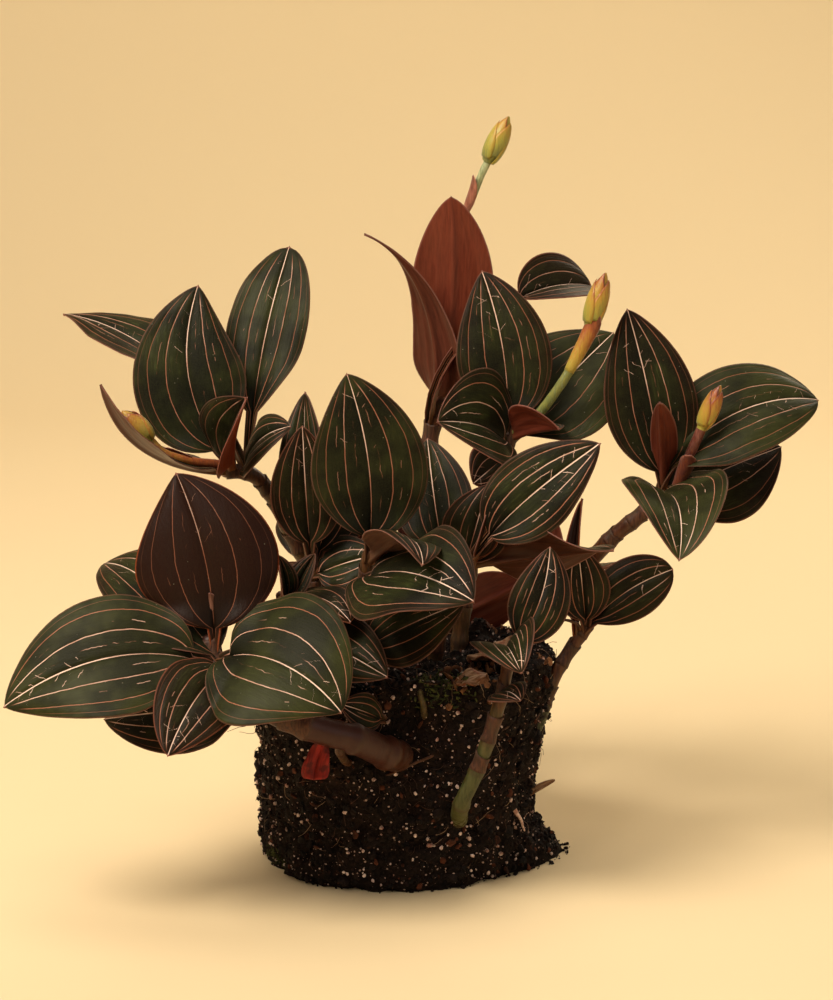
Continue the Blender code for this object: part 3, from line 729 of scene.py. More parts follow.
def two_sided(height, width):
    """Faces of an upper and a lower grid of points, closed round their edges, and how many are upper."""
    size = height * width
    upper, lower = [], []
    for a in range(size - width):
        if a % width < width - 1:
            b = a + width
            upper.append((a, b, b + 1, a + 1))
            lower.append((a + size, a + 1 + size, b + 1 + size, b + size))
    edge = []
    for a in range(0, size - width, width):
        b = a + width
        c, d = b - 1, b + width - 1
        edge.append((a, a + size, b + size, b))
        edge.append((d, d + size, c + size, c))
    for a in range(width - 1):
        b = a + size - width
        edge.append((a + 1, a + 1 + size, a + size, a))
        edge.append((b, b + size, b + 1 + size, b + 1))
    return upper + lower + edge, len(upper)


def leaf_mesh(name, leaf, foot):
    """The leaf as a closed shell, thick at the midrib and thin at its edge, carrying its own measures."""
    seed = random.Random(name).uniform(0, 10)
    columns = [-c for c in reversed(ACROSS[1:])] + list(ACROSS)
    stalk = leaf["petiole"]
    shares = [stalk * i / STALK_ROWS for i in range(STALK_ROWS)]
    for i in range(BLADE_ROWS + 1):
        x = i / BLADE_ROWS
        shares.append(mix(stalk, 1.0, 0.55 * x + 0.45 * (0.5 - 0.5 * math.cos(math.pi * x))))
    shares.append(1.004)
    middle, walked, last = [], 0.0, None
    reach = (leaf["tip"] - foot).length
    for t in shares:
        point, side, up = leaf_frame(leaf, foot, t)
        if last is not None:
            walked += (point - last).length
        last = point
        half = half_width_at(leaf, t)
        opened = smoothstep(t / (stalk * 2.2))
        fold = mix(math.radians(STALK_FOLD), math.radians(leaf["fold"]), opened)
        envelope = math.sin(math.pi * min(1.0, t))
        row = []
        for v in columns:
            share = abs(v)
            slope = fold + math.radians(leaf["curl"]) * opened * share / 2
            ripple = math.sin(math.tau * (1.6 * t + (0.3 if v > 0 else 0.0))) * envelope
            across = half * share * math.cos(slope)
            lift = half * share * math.sin(slope) + leaf["wave"] * ripple * share * share
            place = Vector((v * 1.3 + seed, t * reach / 22.0, seed * 3))
            uneven = opened * min(1.0, half / 9.0)
            lift += noise.noise(place) * 1.5 * share * uneven
            lift += noise.noise(place * 3.1) * 0.55 * share ** 3 * uneven
            quilt = 0.5 - 0.5 * math.cos(math.tau * share / 0.38) if share < 0.76 else 0.0
            lift += 0.11 * quilt * opened * envelope * min(1.0, half / 10.0)
            spot = point + side * math.copysign(across, v) + up * lift
            row.append((spot, (v * half, walked, v), (t, half, seed)))
        middle.append(row)
    height, width = len(middle), len(columns)
    spots, places, shapes = [], [], []
    for sign in (1, -1):
        for i, row in enumerate(middle):
            for j, (point, place, shape) in enumerate(row):
                along = middle[min(i + 1, height - 1)][j][0] - middle[max(i - 1, 0)][j][0]
                across = row[min(j + 1, width - 1)][0] - row[max(j - 1, 0)][0]
                normal = along.cross(across).normalized()
                share, x = abs(place[2]), abs(place[0])
                thick = LEAF_THICKNESS / 2 * (1 - 0.68 * share ** 2.5)
                thick *= mix(1.6, 1.0, smoothstep(place[1] / 12))
                if sign > 0:
                    thick -= 0.30 * hump(x, 0.7) * smoothstep((1 - shape[0]) / 0.1)
                else:
                    thick += 0.55 * hump(x, 0.9) * smoothstep((1 - shape[0]) / 0.35)
                spots.append(point + normal * thick * sign)
                places += place
                shapes += shape
    faces, upper = two_sided(height, width)
    mesh = smooth_mesh(name, spots, faces)
    mesh.polygons.foreach_set("material_index", [0] * upper + [1] * (len(faces) - upper))
    for key, values in (("place", places), ("shape", shapes)):
        mesh.attributes.new(key, "FLOAT_VECTOR", "POINT").data.foreach_set("vector", values)
    for key in ("bronze", "faded", "glow", "veined"):
        note(mesh, key, [leaf[key]] * len(spots))
    return mesh


def own_measures(tree):
    """A leaf's measures: across and along in mm, share across, share along, half width, own number."""
    measures = []
    for name in ("place", "shape"):
        kept = add(tree, "ShaderNodeAttribute", attribute_name=name).outputs["Vector"]
        measures += add(tree, "ShaderNodeSeparateXYZ", kept).outputs[:3]
    return measures


def highest(values):
    return functools.reduce(functools.partial(calc, "MAXIMUM"), values)


def drawn(apart, width, core, rim):
    """A soft line: full within core widths of its middle, and gone at rim widths."""
    return fade(apart, times(width, core), times(width, rim), 1.0, 0.0)


def vein_group():
    """The veins of a leaf as masks: where they are, how pale, the margin, and the relief they press."""
    masks = dict.fromkeys(("Vein", "Paleness", "Margin", "Relief"), "Float")
    tree, given = new_tree("leaf_veins", "Shader", masks, Width=0.30, Dashes=1.0, Twigs=1.0)
    across, along, share, t, half, seed = own_measures(tree)
    away = calc("ABSOLUTE", share)
    side = calc("SIGN", share)

    def wander(step, offset, scale):
        """Slow noise along the leaf that differs on its two sides and from vein to vein."""
        spot = add(tree, "ShaderNodeCombineXYZ", calc("DIVIDE", along, step),
                   calc("MULTIPLY_ADD", side, 3.7, offset), times(seed, 5.3)).outputs[0]
        return calc("MULTIPLY_ADD", grain(spot, 1.0, 3.0, 0.55), scale, -0.5 * scale)

    def distance(share, where, bend):
        """Millimetres to the line that runs at a share of the half width."""
        return times(calc("ABSOLUTE", calc("SUBTRACT", calc("ADD", share, bend), where)), half)

    found, pale, pressed = [], [], []
    for kind, (where, wide, strong, light, swing, tip_light) in enumerate((
            (0.0, 1.02, 1.0, 0.30, 0.016, 0.5), (0.40, 0.9, 0.88, 0.22, 0.070, 0.25),
            (0.74, 0.75, 0.66, 0.02, 0.07, 0.05), (0.90, 0.6, 0.22, 0.0, 0.03, 0.0))):
        apart = distance(away if kind else share, where, wander(11.0, where * 17, swing))
        width = times(given["Width"], wide)
        if not kind:
            width = times(width, fade(t, 0.15, 0.75, 0.7, 1.25))
        line = times(drawn(apart, width, 0.55, 1.25), strong)
        patchy = wander(6.0, where * 31 + 4, 1.0)
        if kind:
            line = times(line, fade(patchy, -0.42, -0.1, 0.35, 1.0), fade(t, 0.06 * kind, 0.06 * kind + 0.1),
                         fade(t, 1.0 - 0.02 * kind, 0.93 - 0.02 * kind))
        if kind == 3:
            line = times(line, fade(half, 9.0, 14.0))
        found.append(line)
        pale.append(times(line, calc("ADD", calc("MULTIPLY_ADD", patchy, 0.9, light),
                                     fade(t, 0.35, 0.85, 0.0, tip_light))))
        pressed.append(times(fade(apart, 0.0, 0.9 if kind else 1.3, 1.0, 0.0), strong))
    for where, offset, whole in ((0.20, 50, -0.04), (0.55, 70, 0.05)):
        line = drawn(distance(away, where, wander(4.2, offset, 0.10)), given["Width"], 0.25, 0.9)
        line = times(line, fade(wander(7.0, offset + 9, 1.0), whole, 0.08),
                     fade(wander(14.0, offset + 21, 1.0), -0.12, 0.05),
                     fade(t, 0.25, 0.35), fade(t, 0.86, 0.78), given["Dashes"])
        found.append(times(line, 0.60))
        pale.append(times(line, 0.38))
    reach = calc("ABSOLUTE", across)
    for lean, spacing, offset, rare in ((-0.9, 4.6, 90, 0.48), (0.35, 7.1, 120, 0.84)):
        run = calc("ADD", calc("MULTIPLY_ADD", reach, lean, along), wander(2.2, offset, 2.6))
        run = calc("DIVIDE", calc("MULTIPLY_ADD", seed, 3.1, run), spacing)
        apart = times(calc("ABSOLUTE", calc("SUBTRACT", calc("FRACT", run), 0.5)), spacing)
        spot = add(tree, "ShaderNodeCombineXYZ", calc("FLOOR", run),
                   calc("MULTIPLY_ADD", side, 2.0, offset), seed)
        chance = add(tree, "ShaderNodeTexWhiteNoise", spot.outputs[0], noise_dimensions="3D")
        draw = add(tree, "ShaderNodeSeparateColor", chance.outputs["Color"]).outputs
        start = times(calc("POWER", draw[1], 2.5), times(half, 0.35))
        end = calc("ADD", start, calc("MULTIPLY_ADD", draw[2], 2.6, 0.7))
        line = times(drawn(apart, given["Width"], 0.25, 0.95), calc("GREATER_THAN", reach, start),
                     calc("LESS_THAN", reach, end), calc("GREATER_THAN", draw[0], rare),
                     fade(t, 0.55, 0.66), fade(t, 0.95, 0.90), calc("LESS_THAN", away, 0.62), given["Twigs"])
        found.append(times(line, 0.75))
        pale.append(times(line, draw[0]))
    rim = times(calc("SUBTRACT", 1.0, away), half)
    gone = fade(t, 0.0, 0.12)
    add(tree, "NodeGroupOutput", times(highest(found), gone), highest(pale), fade(rim, 0.22, 0.62, 1.0, 0.0),
        times(highest(pressed), gone))
    return tree


leaf_veins = vein_group()


def leaf_finish(name, cross, down, **values):
    """A material for a leaf, with streaks along it. Returns also its measures by name and the streaks."""
    material, tree, shader, place = new_finish(name, **values)
    measures = dict(zip(("across", "along", "share", "t", "half", "seed"), own_measures(tree)))
    spot = add(tree, "ShaderNodeCombineXYZ", times(measures["across"], cross), times(measures["along"], down),
               measures["seed"])
    return material, tree, shader, place, measures, grain(spot.outputs[0], 1.0, 4.0, 0.6)


def velvet_finish():
    """Upper side: black green velvet, bronze towards the edge, with copper to pale pink veins."""
    material, tree, shader, place, measures, streak = leaf_finish(
        "velvet_leaf", 1.3, 0.17, Sheen_Weight=0.012, Sheen_Roughness=0.35, Specular_IOR_Level=0.10,
        Sheen_Tint=(0.86, 0.82, 0.52, 1))
    t = measures["t"]
    bronze = noted(tree, "bronze")
    veined = noted(tree, "veined")
    veins = feed(add(tree, "ShaderNodeGroup", node_tree=leaf_veins), Dashes=1.0, Twigs=0.8,
                 Width=calc("MULTIPLY_ADD", veined, 0.055, 0.120)).outputs
    patch = grain(place, 0.016, 3, 0.6)
    pile = grain(place, 0.00042, 2, 0.6)
    dark = tint(fade(patch, 0.35, 0.65), (0.0040, 0.0040, 0.0017), (0.0160, 0.0185, 0.0052))
    green = tint(times(fade(streak, 0.45, 0.75), fade(patch, 0.45, 0.7)), dark, (0.044, 0.054, 0.014))
    away = calc("ABSOLUTE", measures["share"])
    outer = calc("ADD", fade(away, 0.5, 1.0, 0, 0.45), fade(t, 0.72, 1.0, 0, 0.35))
    outer = calc("ADD", times(outer, fade(streak, 0.2, 0.6, 0.6, 1.1)), bronze, use_clamp=True)
    colour = tint(outer, green, (0.0165, 0.0046, 0.0022))
    # Lighter green specks on the fine velvet pile: painted glints, fewer on bronze leaves.
    painted_pile_glint = times(fade(pile, 0.35, 0.7, 0, 0.17), fade(bronze, 0.2, 1.0, 1.0, 0.3))
    colour = tint(painted_pile_glint, colour, (0.045, 0.046, 0.018))
    lighter = times(bronze, -1.0, fade(patch, 0.35, 0.65, 0.35, 1.0))
    colour = tint(calc("MAXIMUM", lighter, 0.0), colour, (0.044, 0.046, 0.0125))
    # Near black towards each leaf's foot, most along its middle: painted shade where the leaves crowd at the
    # plant's heart.
    painted_base_shade = times(fade(t, 0.45, 0.15), fade(away, 0.9, 0.1, 0.25, 0.65))
    colour = tint(painted_base_shade, colour, (0.0050, 0.0040, 0.0026))
    colour = tint(times(fade(t, 0.16, 0.02), 0.75), colour, (0.050, 0.022, 0.010))
    dust = add(tree, "ShaderNodeTexVoronoi", place, None, 420.0)
    mote = times(calc("LESS_THAN", dust.outputs["Distance"], 0.075), some_cells(dust, 5.1, 0.80), 0.6)
    colour = tint(mote, colour, (0.20, 0.18, 0.12))
    paleness = calc("ADD", veins["Paleness"], calc("MULTIPLY_ADD", veined, 0.42, -0.42))
    line = tint(fade(paleness, 0.15, 0.95), (0.32, 0.115, 0.062), (0.86, 0.64, 0.52))
    colour = tint(calc("MULTIPLY", veins["Vein"], veined, use_clamp=True), colour, line)
    edge = tint(bronze, (0.14, 0.062, 0.040), (0.36, 0.070, 0.020))
    colour = tint(times(veins["Margin"], 0.55), colour, edge)
    colour = tint(fade(t, 0.985, 1.0, 0, 0.8), colour, (0.24, 0.09, 0.06))
    gloss = calc("MULTIPLY_ADD", pile, 0.22, fade(patch, 0.3, 0.7, 0.40, 0.33))
    lift = calc("MULTIPLY_ADD", veins["Relief"], -0.30, times(streak, 0.45))
    dress(shader, colour, calc("SUBTRACT", gloss, times(veins["Vein"], 0.06)),
          calc("MULTIPLY_ADD", pile, 0.22, lift), 0.55, 0.0006)
    return material


def burgundy_finish():
    """Lower side and edge: smooth burgundy, paler red along the raised veins, faded on some leaves."""
    material, tree, shader, place, measures, streak = leaf_finish(
        "burgundy_leaf", 1.1, 0.12, Specular_IOR_Level=0.18)
    veins = feed(add(tree, "ShaderNodeGroup", node_tree=leaf_veins), Width=0.42, Dashes=0.0,
                 Twigs=0.0).outputs
    glow = noted(tree, "glow")
    streaked = fade(streak, 0.3, 0.7)
    red = tint(streaked, (0.066, 0.0135, 0.0085), (0.135, 0.029, 0.015))
    red = tint(fade(grain(place, 0.013, 3, 0.6), 0.4, 0.7, 0, 0.6), red, (0.115, 0.030, 0.015))
    # Brighter orange red where a leaf is lit from behind: painted backlight glow. Below 0, a darker brown
    # underside instead.
    red = tint(calc("MAXIMUM", glow, 0.0), red, tint(streak, (0.19, 0.033, 0.014), (0.30, 0.062, 0.022)))
    red = tint(times(glow, -1.0), red, tint(streak, (0.030, 0.012, 0.007), (0.075, 0.032, 0.018)))
    colour = tint(noted(tree, "faded"), red, tint(streaked, (0.095, 0.046, 0.032), (0.175, 0.090, 0.062)))
    colour = tint(times(veins["Vein"], 0.16), colour, (0.20, 0.055, 0.030))
    colour = tint(times(veins["Margin"], 0.5), colour, (0.30, 0.13, 0.10))
    colour = tint(fade(measures["t"], 0.22, 0.02), colour, (0.13, 0.060, 0.024))
    dress(shader, colour, fade(streak, 0.3, 0.7, 0.33, 0.44),
          calc("MULTIPLY_ADD", veins["Relief"], 0.14, times(streak, 0.25)), 0.28, 0.0007)
    return material


velvet = velvet_finish()
burgundy = burgundy_finish()


def grow_leaf(name, foot, tip, looks, width, node, shape, finishes=(velvet, burgundy)):
    """One leaf from its foot to its tip. looks is the way its upper side faces."""
    leaf = dict(PLAIN_LEAF, **shape, tip=Vector(tip), looks=Vector(looks), width=width)
    settle(name, leaf_mesh(name, leaf, Vector(foot)), node, finishes)


def grow_shoot(name, path, foot_radius, end_radius, redness, leaves, spacing=15.0, grime=18.0, sleeves=0.3,
               blunt=False):
    """A stem and its leaves. Each leaf is its name, how far below the stem's end it grows, its tip,
    the way its upper side faces, its width and its shape."""
    grow_stem("stem_" + name, path, foot_radius, end_radius, redness, "shoot_" + name, spacing, grime,
              sleeves, blunt)
    line = curve_through(path, STEM_STEP)
    for leaf, below, tip, looks, width, shape in leaves:
        foot = back_along(line, below + end_radius)
        grow_leaf("leaf_" + name + "_" + leaf, foot, tip, looks, width, "shoot_" + name, shape)


# The flower spikes: a downy stalk with a bract wrapped round it, and one closed bud in scales,
# yellow green to orange, with pink tips. The stalk is the soft end of its stem.
BUD_STEPS = 22
BUD_SCALES = 5
SCALE_ROWS = 14
SCALE_COLUMNS = 9
SCALE_THICKNESS = 0.22
BUD_COLOURS = [(0.0, (0.42, 0.45, 0.25)), (0.10, (0.15, 0.17, 0.045)), (0.25, (0.36, 0.32, 0.045)),
               (0.45, (0.46, 0.27, 0.030)), (0.66, (0.34, 0.085, 0.015)), (0.84, (0.12, 0.022, 0.011)),
               (1.0, (0.42, 0.16, 0.10))]


def bud_profile(share):
    return max(0.06, (share + 0.06) ** 0.55 * (1.0 - share) ** 0.75 / 0.45)


def bud_finish():
    """Bud scale or bract: green yellow at its foot, orange along its edges, pink at its tip."""
    material, tree, shader, place = new_finish("bud_scale", Sheen_Weight=0.12, Subsurface_Weight=0.2,
                                               Subsurface_Radius=(0.003, 0.0015, 0.0006))
    streak = upright_streaks(place, 0.15, 0.0007)
    share = calc("MULTIPLY_ADD", streak, 0.35, calc("SUBTRACT", noted(tree, "ripeness"), 0.17))
    ramp = add(tree, "ShaderNodeValToRGB", share)
    stops = ramp.color_ramp.elements
    stops.remove(stops[1])
    for position, colour in BUD_COLOURS[1:]:
        stops.new(position).color = (*colour, 1)
    stops[0].color = (*BUD_COLOURS[0][1], 1)
    dress(shader, ramp.outputs[0], fade(streak, 0.3, 0.7, 0.36, 0.5), streak, 0.5, 0.0004)
    return material


bud_scales = bud_finish()


def scale_mesh(start, heading, side, length, radius, wrap, ripeness, flare):
    """One pointed scale, wrapped part of the way round a bud or stalk. wrap is in degrees."""
    up = heading.cross(side)
    spots, ripe = [], []
    for inner in (0.0, SCALE_THICKNESS):
        for i in range(SCALE_ROWS + 1):
            s = i / SCALE_ROWS
            span = math.radians(wrap) * (1 - s ** 2.2) ** 0.8 + 0.02
            for j in range(SCALE_COLUMNS + 1):
                across = j / SCALE_COLUMNS - 0.5
                a = span * across
                r = radius(s) - inner + flare * s ** 3 * math.cos(a)
                spots.append(start + heading * length * s + (side * math.cos(a) + up * math.sin(a)) * r)
                ripe.append(min(1.0, mix(ripeness[0], ripeness[1], s) + 0.22 * abs(across * 2) ** 3))
    faces = two_sided(SCALE_ROWS + 1, SCALE_COLUMNS + 1)[0]
    mesh = smooth_mesh("scale", spots, [(face[0], *face[:0:-1]) for face in faces])
    note(mesh, "ripeness", ripe)
    mesh.materials.append(bud_scales)
    return mesh


def grow_spike(name, path, stalk_radius, bud_length, bud_radius, bract, tones):
    """A stalk with a bract and a bud. The bract is its place along the stalk, its length, how far it
    wraps round, its ripeness, and its turn from the front. tones are the stalk's and the bud's."""
    full = "spike_" + name
    rnd = random.Random(full)
    line = curve_through(path, 1.0)
    count = len(line)
    foot_tone, end_tone, bud_tone, tip_tone = tones
    radii = [stalk_radius * (1 + 0.05 * noise.noise(p / 3)) for p in line]
    meshes = [rod_mesh(full, line, radii, 16, bud_scales,
                       ripeness=[mix(foot_tone, end_tone, i / count) for i in range(count)])]
    heading = (line[-1] - line[-3]).normalized()
    side = heading.orthogonal().normalized()
    shares = [i / BUD_STEPS for i in range(BUD_STEPS + 1)]
    core = [stalk_radius] + [bud_radius * 0.93 * bud_profile(s) for s in shares[1:]]
    meshes.append(rod_mesh(full, [line[-1] + heading * bud_length * s for s in shares], core, 18, bud_scales,
                           ripeness=[mix(bud_tone, tip_tone, s) for s in shares]))
    for k in range(BUD_SCALES):
        turned = Matrix.Rotation(k * 2.4 + rnd.uniform(-0.2, 0.2), 3, heading) @ side
        begin = 0.02 + 0.07 * k
        reach = 0.80 + 0.05 * k - begin
        meshes.append(scale_mesh(
            line[-1] + heading * bud_length * begin, heading, turned, bud_length * reach,
            lambda s: bud_radius * bud_profile(begin + reach * s) + 0.38 - 0.04 * k,
            200 - 12 * k, (bud_tone, tip_tone + 0.06 * k), 0.35))
    where, length, wrap, ripeness, turn = bract
    first = min(count - 3, int(where * count))
    along = (line[min(count - 1, first + 8)] - line[first]).normalized()
    front = Vector((0, -1, 0.2))
    turned = Matrix.Rotation(math.radians(turn), 3, along) @ (front - along * front.dot(along)).normalized()
    meshes.append(scale_mesh(
        line[first], along, turned, length,
        lambda s: stalk_radius + 0.12 + 0.6 * math.sin(math.pi * s) * (1 - s) + 1.6 * s ** 2,
        wrap, ripeness, 0.4))
    settle(full, joined(full, meshes), "shoot_" + name)

# The upper left shoot: a rosette of six leaves on a leaning stem, with a short yellow bud.
UPPER_LEFT = [(-20, 13, 52), (-23, 13, 75), (-31, 10, 95), (-38, 8, 110), (-44, 8, 122), (-51, 7, 130),
              (-61, 4, 132)]
grow_shoot("upper_left", UPPER_LEFT, 3.2, 2.4, (0.35, 0.75), [
    ("back_left", 6, (-118, 52, 178), (0.0, -0.35, 1.0), 26, dict(rise=44, droop=34, petiole=0.38,
                                                                  point=1.25)),
    ("upright", 3, (-69, 20, 192), (0.0, -1.0, 0.25), 37, dict(sway=0.19, bronze=-0.2)),
    ("back_right", 7, (-39, 38, 203), (-0.3, -1.0, 0.2), 28, dict(sway=0.02, petiole=0.25, belly=0.62,
                                                                  point=0.60, bronze=-0.3)),
    ("side_left", 3, (-97, -30, 166), (0.6, 0.2, 0.75), 24, dict(rise=-30, droop=-40, fold=24, faded=0.15,
                                                                 glow=-0.8)),
    ("young", 2, (-51, -18, 160), (-0.85, -0.6, 0.2), 29, dict(fold=46, glow=1.0)),
    ("side_right", 8, (-37, -10, 149), (-0.3, -0.7, 0.9), 22, dict(rise=45, droop=45)),
])
grow_spike("upper_left", [UPPER_LEFT[-1], (-61, 3, 134), (-70, -2, 136), (-79, -6.5, 139.5),
           (-83.4, -8, 144)], 1.6, 14, 3.6, (0.45, 11, 250, (0.6, 0.8), 180), (0.8, 0.5, 0.26, 0.48))

# The lower left shoot: the thickest stem, which creeps out of the hollow and bears seven big leaves.
grow_shoot("lower_left", [(0, -39, 45), (-6, -51, 50), (-15, -61, 57), (-30, -67, 63), (-45, -66, 70),
                                (-58, -60, 80), (-62, -56, 90)], 5.6, 3.0, (1.25, 2.8), [
    ("upright", 4, (-72, -45, 140), (0.0, -1.0, 0.15), 46, dict(fold=10, curl=-40, sway=-0.08, bronze=0.95,
                                                                veined=0.6)),
    ("left", 9, (-125, -70, 70), (0.0, -0.75, 0.65), 42, dict(rise=38, droop=28, sway=-0.11, bronze=-0.6,
                                                              veined=1.5)),
    ("right", 7, (-19, -88, 73), (0.1, -0.85, 0.6), 51, dict(rise=45, droop=45, sway=0.11, belly=0.50,
                                                             bronze=-0.5, veined=1.5)),
    ("front", 12, (-72, -94, 61), (0.0, -1.0, 0.3), 25, dict(rise=50, droop=20, sway=-0.10, bronze=0.35,
                                                             veined=1.15)),
    ("low_back", 30, (-96, -48, 60), (0.0, -0.8, 0.6), 29, dict(veined=1.4)),
    ("back", 14, (-98, -20, 105), (-0.1, -0.5, 0.9), 32, dict(rise=40, droop=45)),
    ("young", 1, (-61, -58, 104), (0.3, 0.8, 0.3), 10, dict(fold=60, bronze=1.0, faded=0.9, veined=0.0)),
], spacing=21.0, grime=4.0, sleeves=0.45, blunt=True)

# The shoot in front of the middle, with one tall leaf and a wavy one that reaches forward.
grow_shoot("centre_front", [(-15, -26, 50), (-15, -29, 75), (-13, -31, 99), (-11, -34, 113)], 2.8, 2.1,
           (0.4, 0.75), [
    ("upright", 2, (-18, -35, 170.5), (0.05, -1.0, 0.1), 37, dict(sway=-0.08, bronze=-0.15)),
    ("front", 11, (22, -75, 105), (0.0, -0.7, 0.7), 42, dict(rise=35, droop=40, wave=2.0, veined=1.5)),
    ("front_small", 4, (6, -72, 116), (0.3, 0.2, 1.0), 22, dict(rise=35, droop=60, faded=1.0)),
    ("low_right", 34, (20, -44, 98), (0.1, -0.8, 0.6), 26, {}),
])

# The slimmer shoot behind it on the left.
grow_shoot("centre_left", [(-24, 1, 52), (-28, -2, 80), (-31, -5, 107)], 2.8, 2.0, (0.3, 0.7), [
    ("upright", 1, (-33, -14, 150), (-0.1, -1.0, 0.1), 23, dict(bronze=0.2)),
    ("tall", 4, (-33, 12, 157), (-0.3, -0.8, 0.3), 18, dict(fold=30, veined=0.7)),
    ("back_right", 6, (-18, 12, 146), (0.1, -1.0, 0.2), 28, dict(bronze=0.2)),
    ("right", 8, (-8, -10, 106), (0.0, -0.8, 0.6), 20, dict(rise=25, droop=20, veined=1.4)),
])

# The low shoot on the left, with two leaves still rolled up.
grow_shoot("low_left", [(-27, -22, 52), (-33, -23, 75), (-40, -22, 95)], 2.6, 1.9, (0.2, 0.6), [
    ("front_right", 3, (-17, -48, 92), (0.3, -0.5, 0.9), 26, dict(rise=45, droop=45, bronze=0.25)),
    ("young_left", 1, (-41, -24, 109), (0.5, -0.6, 0.2), 9, dict(fold=55, veined=0.3)),
    ("young_right", 3, (-29, -18, 108), (-0.4, -0.9, 0.2), 10, dict(fold=40, veined=0.5)),
    ("low_right", 13, (-5, -56, 76), (0.0, -0.8, 0.6), 25, dict(rise=25, droop=20)),
])

# The tall shoot at the back shows the red undersides of its leaves. Its bud stands above everything.
TALL_BACK = [(5, 30, 52), (6, 34, 95), (8, 36, 130), (12, 38, 152)]
grow_shoot("tall_back", TALL_BACK, 3.7, 2.7, (0.7, 1.0), [
    ("upright", 2, (16, 40, 220), (0.0, 1.0, 0.1), 27.5, dict(rise=5, droop=5, sway=0.05, belly=0.75,
                                                              point=0.75, glow=0.3)),
    ("left", 10, (-13, 22, 209), (0.4, 0.7, 0.2), 18, dict(rise=25, droop=45, sway=0.12, belly=0.5,
                                                           point=2.3, glow=-0.3)),
    ("right", 9, (65, 58, 187), (-0.15, -0.85, 0.55), 24, dict(rise=66, droop=50, petiole=0.68, sway=0.17,
                                                               bronze=0.3, belly=0.5, point=0.5)),
])
grow_spike("tall_back", [TALL_BACK[-1], (13, 42, 154), (16, 47, 175), (20, 47, 209), (23, 46, 218),
           (26, 45, 226), (28.3, 45, 231)], 1.3, 17.5, 3.5, (0.75, 13, 230, (0.98, 0.86), -60),
           (0.10, 0.02, 0.10, 0.30))

# The upper right shoot, with a long bud that leans out over its widest leaf.
UPPER_RIGHT = [(17, 2, 52), (20, 2, 85), (26, 2, 117), (36, 0, 146)]
grow_shoot("upper_right", UPPER_RIGHT, 3.0, 2.3, (0.5, 0.9), [
    ("upright", 3, (26, 10, 198), (-0.1, -1.0, 0.15), 31, dict(sway=-0.08, bronze=0.1)),
    ("left", 4, (11, -24, 153), (0.15, -0.8, 0.6), 38, dict(rise=28, droop=20, fold=28, curl=-10,
                                                            sway=-0.06, veined=1.5)),
    ("back_right", 6, (71, 27, 175), (-0.1, -0.8, 0.6), 42, dict(bronze=-0.6)),
    ("young", 1, (51, -14, 149), (0.3, 0.3, 0.9), 22, dict(fold=40, glow=0.2)),
    ("low_left", 8, (23, -9, 130), (0.2, -1.0, 0.3), 17, dict(rise=20, droop=15, bronze=0.4)),
])
grow_spike("upper_right", [UPPER_RIGHT[-1], (38, -1, 147), (44.5, -2, 152), (51, -4, 161),
           (56.4, -4, 170), (60, -3, 178), (61, -3, 181)], 1.6, 19, 3.4,
           (0.62, 22, 290, (0.30, 0.80), -10), (0.14, 0.10, 0.16, 0.46))

# The shoot in the middle on the right, with a leaf whose brown underside faces the front.
grow_shoot("middle_right", [(8, -8, 52), (11, -12, 75), (15, -17, 92), (23, -22, 108)], 2.8, 2.1,
           (0.5, 0.9), [
    ("upright", 5, (28, -16, 131), (-0.2, -1.0, 0.2), 22, dict(bronze=0.2)),
    ("right", 2, (67, -45, 115), (0.1, 1.0, -0.05), 28, dict(rise=25, droop=25, fold=20, curl=-15,
                                                             twist=95, glow=-0.8)),
    ("high_right", 1, (63, -36, 148), (-0.2, -0.9, 0.4), 27, dict(rise=24, petiole=0.24, sway=0.03,
                                                                  veined=1.5)),
    ("high_left", 14, (8, 2, 143), (-0.3, -1.0, 0.1), 26, dict(petiole=0.28)),
    ("young", 0, (28, -27, 127), (0.4, -0.6, 0.3), 11, dict(fold=60, bronze=0.5, faded=0.8, veined=0.2)),
])

# The far right shoot: a rosette of five leaves with a small bud in it, on a long leaning stem.
FAR_RIGHT = [(32, 10, 52), (40, 10, 72), (52, 8, 88), (63, 6, 101), (71, 4, 110), (79, 2, 117), (89, 0, 126)]
grow_shoot("far_right", FAR_RIGHT, 3.4, 2.4, (0.3, 1.6), [
    ("upright", 1, (74, 5, 186), (0.0, -1.0, 0.2), 30, dict(bronze=0.1, sway=-0.03)),
    ("high_right", 2, (138, 7, 155), (0.0, -0.7, 0.7), 35, dict(rise=56, droop=44, sway=0.13, petiole=0.2,
                                                                point=0.66, bronze=-0.5)),
    ("low_right", 6, (127, 14, 138), (0.0, -0.8, 0.6), 38, dict(bronze=0.15)),
    ("front", 5, (88, -46, 112), (0.0, -0.6, 0.8), 36, dict(rise=50, droop=48, sway=0.10, fold=28,
                                                            curl=-12, belly=0.46, bronze=-0.6, veined=1.5)),
    ("young", 1, (83, -22, 159), (0.2, 0.9, 0.1), 11, dict(fold=50, glow=0.1)),
])
grow_spike("far_right", [FAR_RIGHT[-1], (91, -4, 128), (94, -7, 138), (98, -8, 148)], 1.7, 16, 2.9,
           (0.15, 16, 280, (0.78, 0.80), 0), (0.84, 0.84, 0.26, 0.56))

# The low shoot on the right, bent out of the mix near its rim. One of its leaves has died.
grow_shoot("low_right", [(37, -12, 34), (44.3, -10, 48), (47.4, -6, 55.5), (50.8, -3, 63.3),
                               (56, -1, 71.5), (63, 0, 81)], 3.0, 1.9, (-0.4, 1.5), [
    ("upright", 1, (58, -4, 108), (0.0, -1.0, 0.1), 18, dict(bronze=0.2)),
    ("right", 2, (90, 0, 99), (0.0, -1.0, 0.3), 20, dict(rise=20, droop=10, sway=0.10, bronze=0.2,
                                                         belly=0.6, point=0.55)),
    ("sliver", 6, (60, 10, 121), (-0.5, -0.6, 0.2), 8, dict(fold=50, bronze=1.0, faded=1.0, veined=0.0)),
])

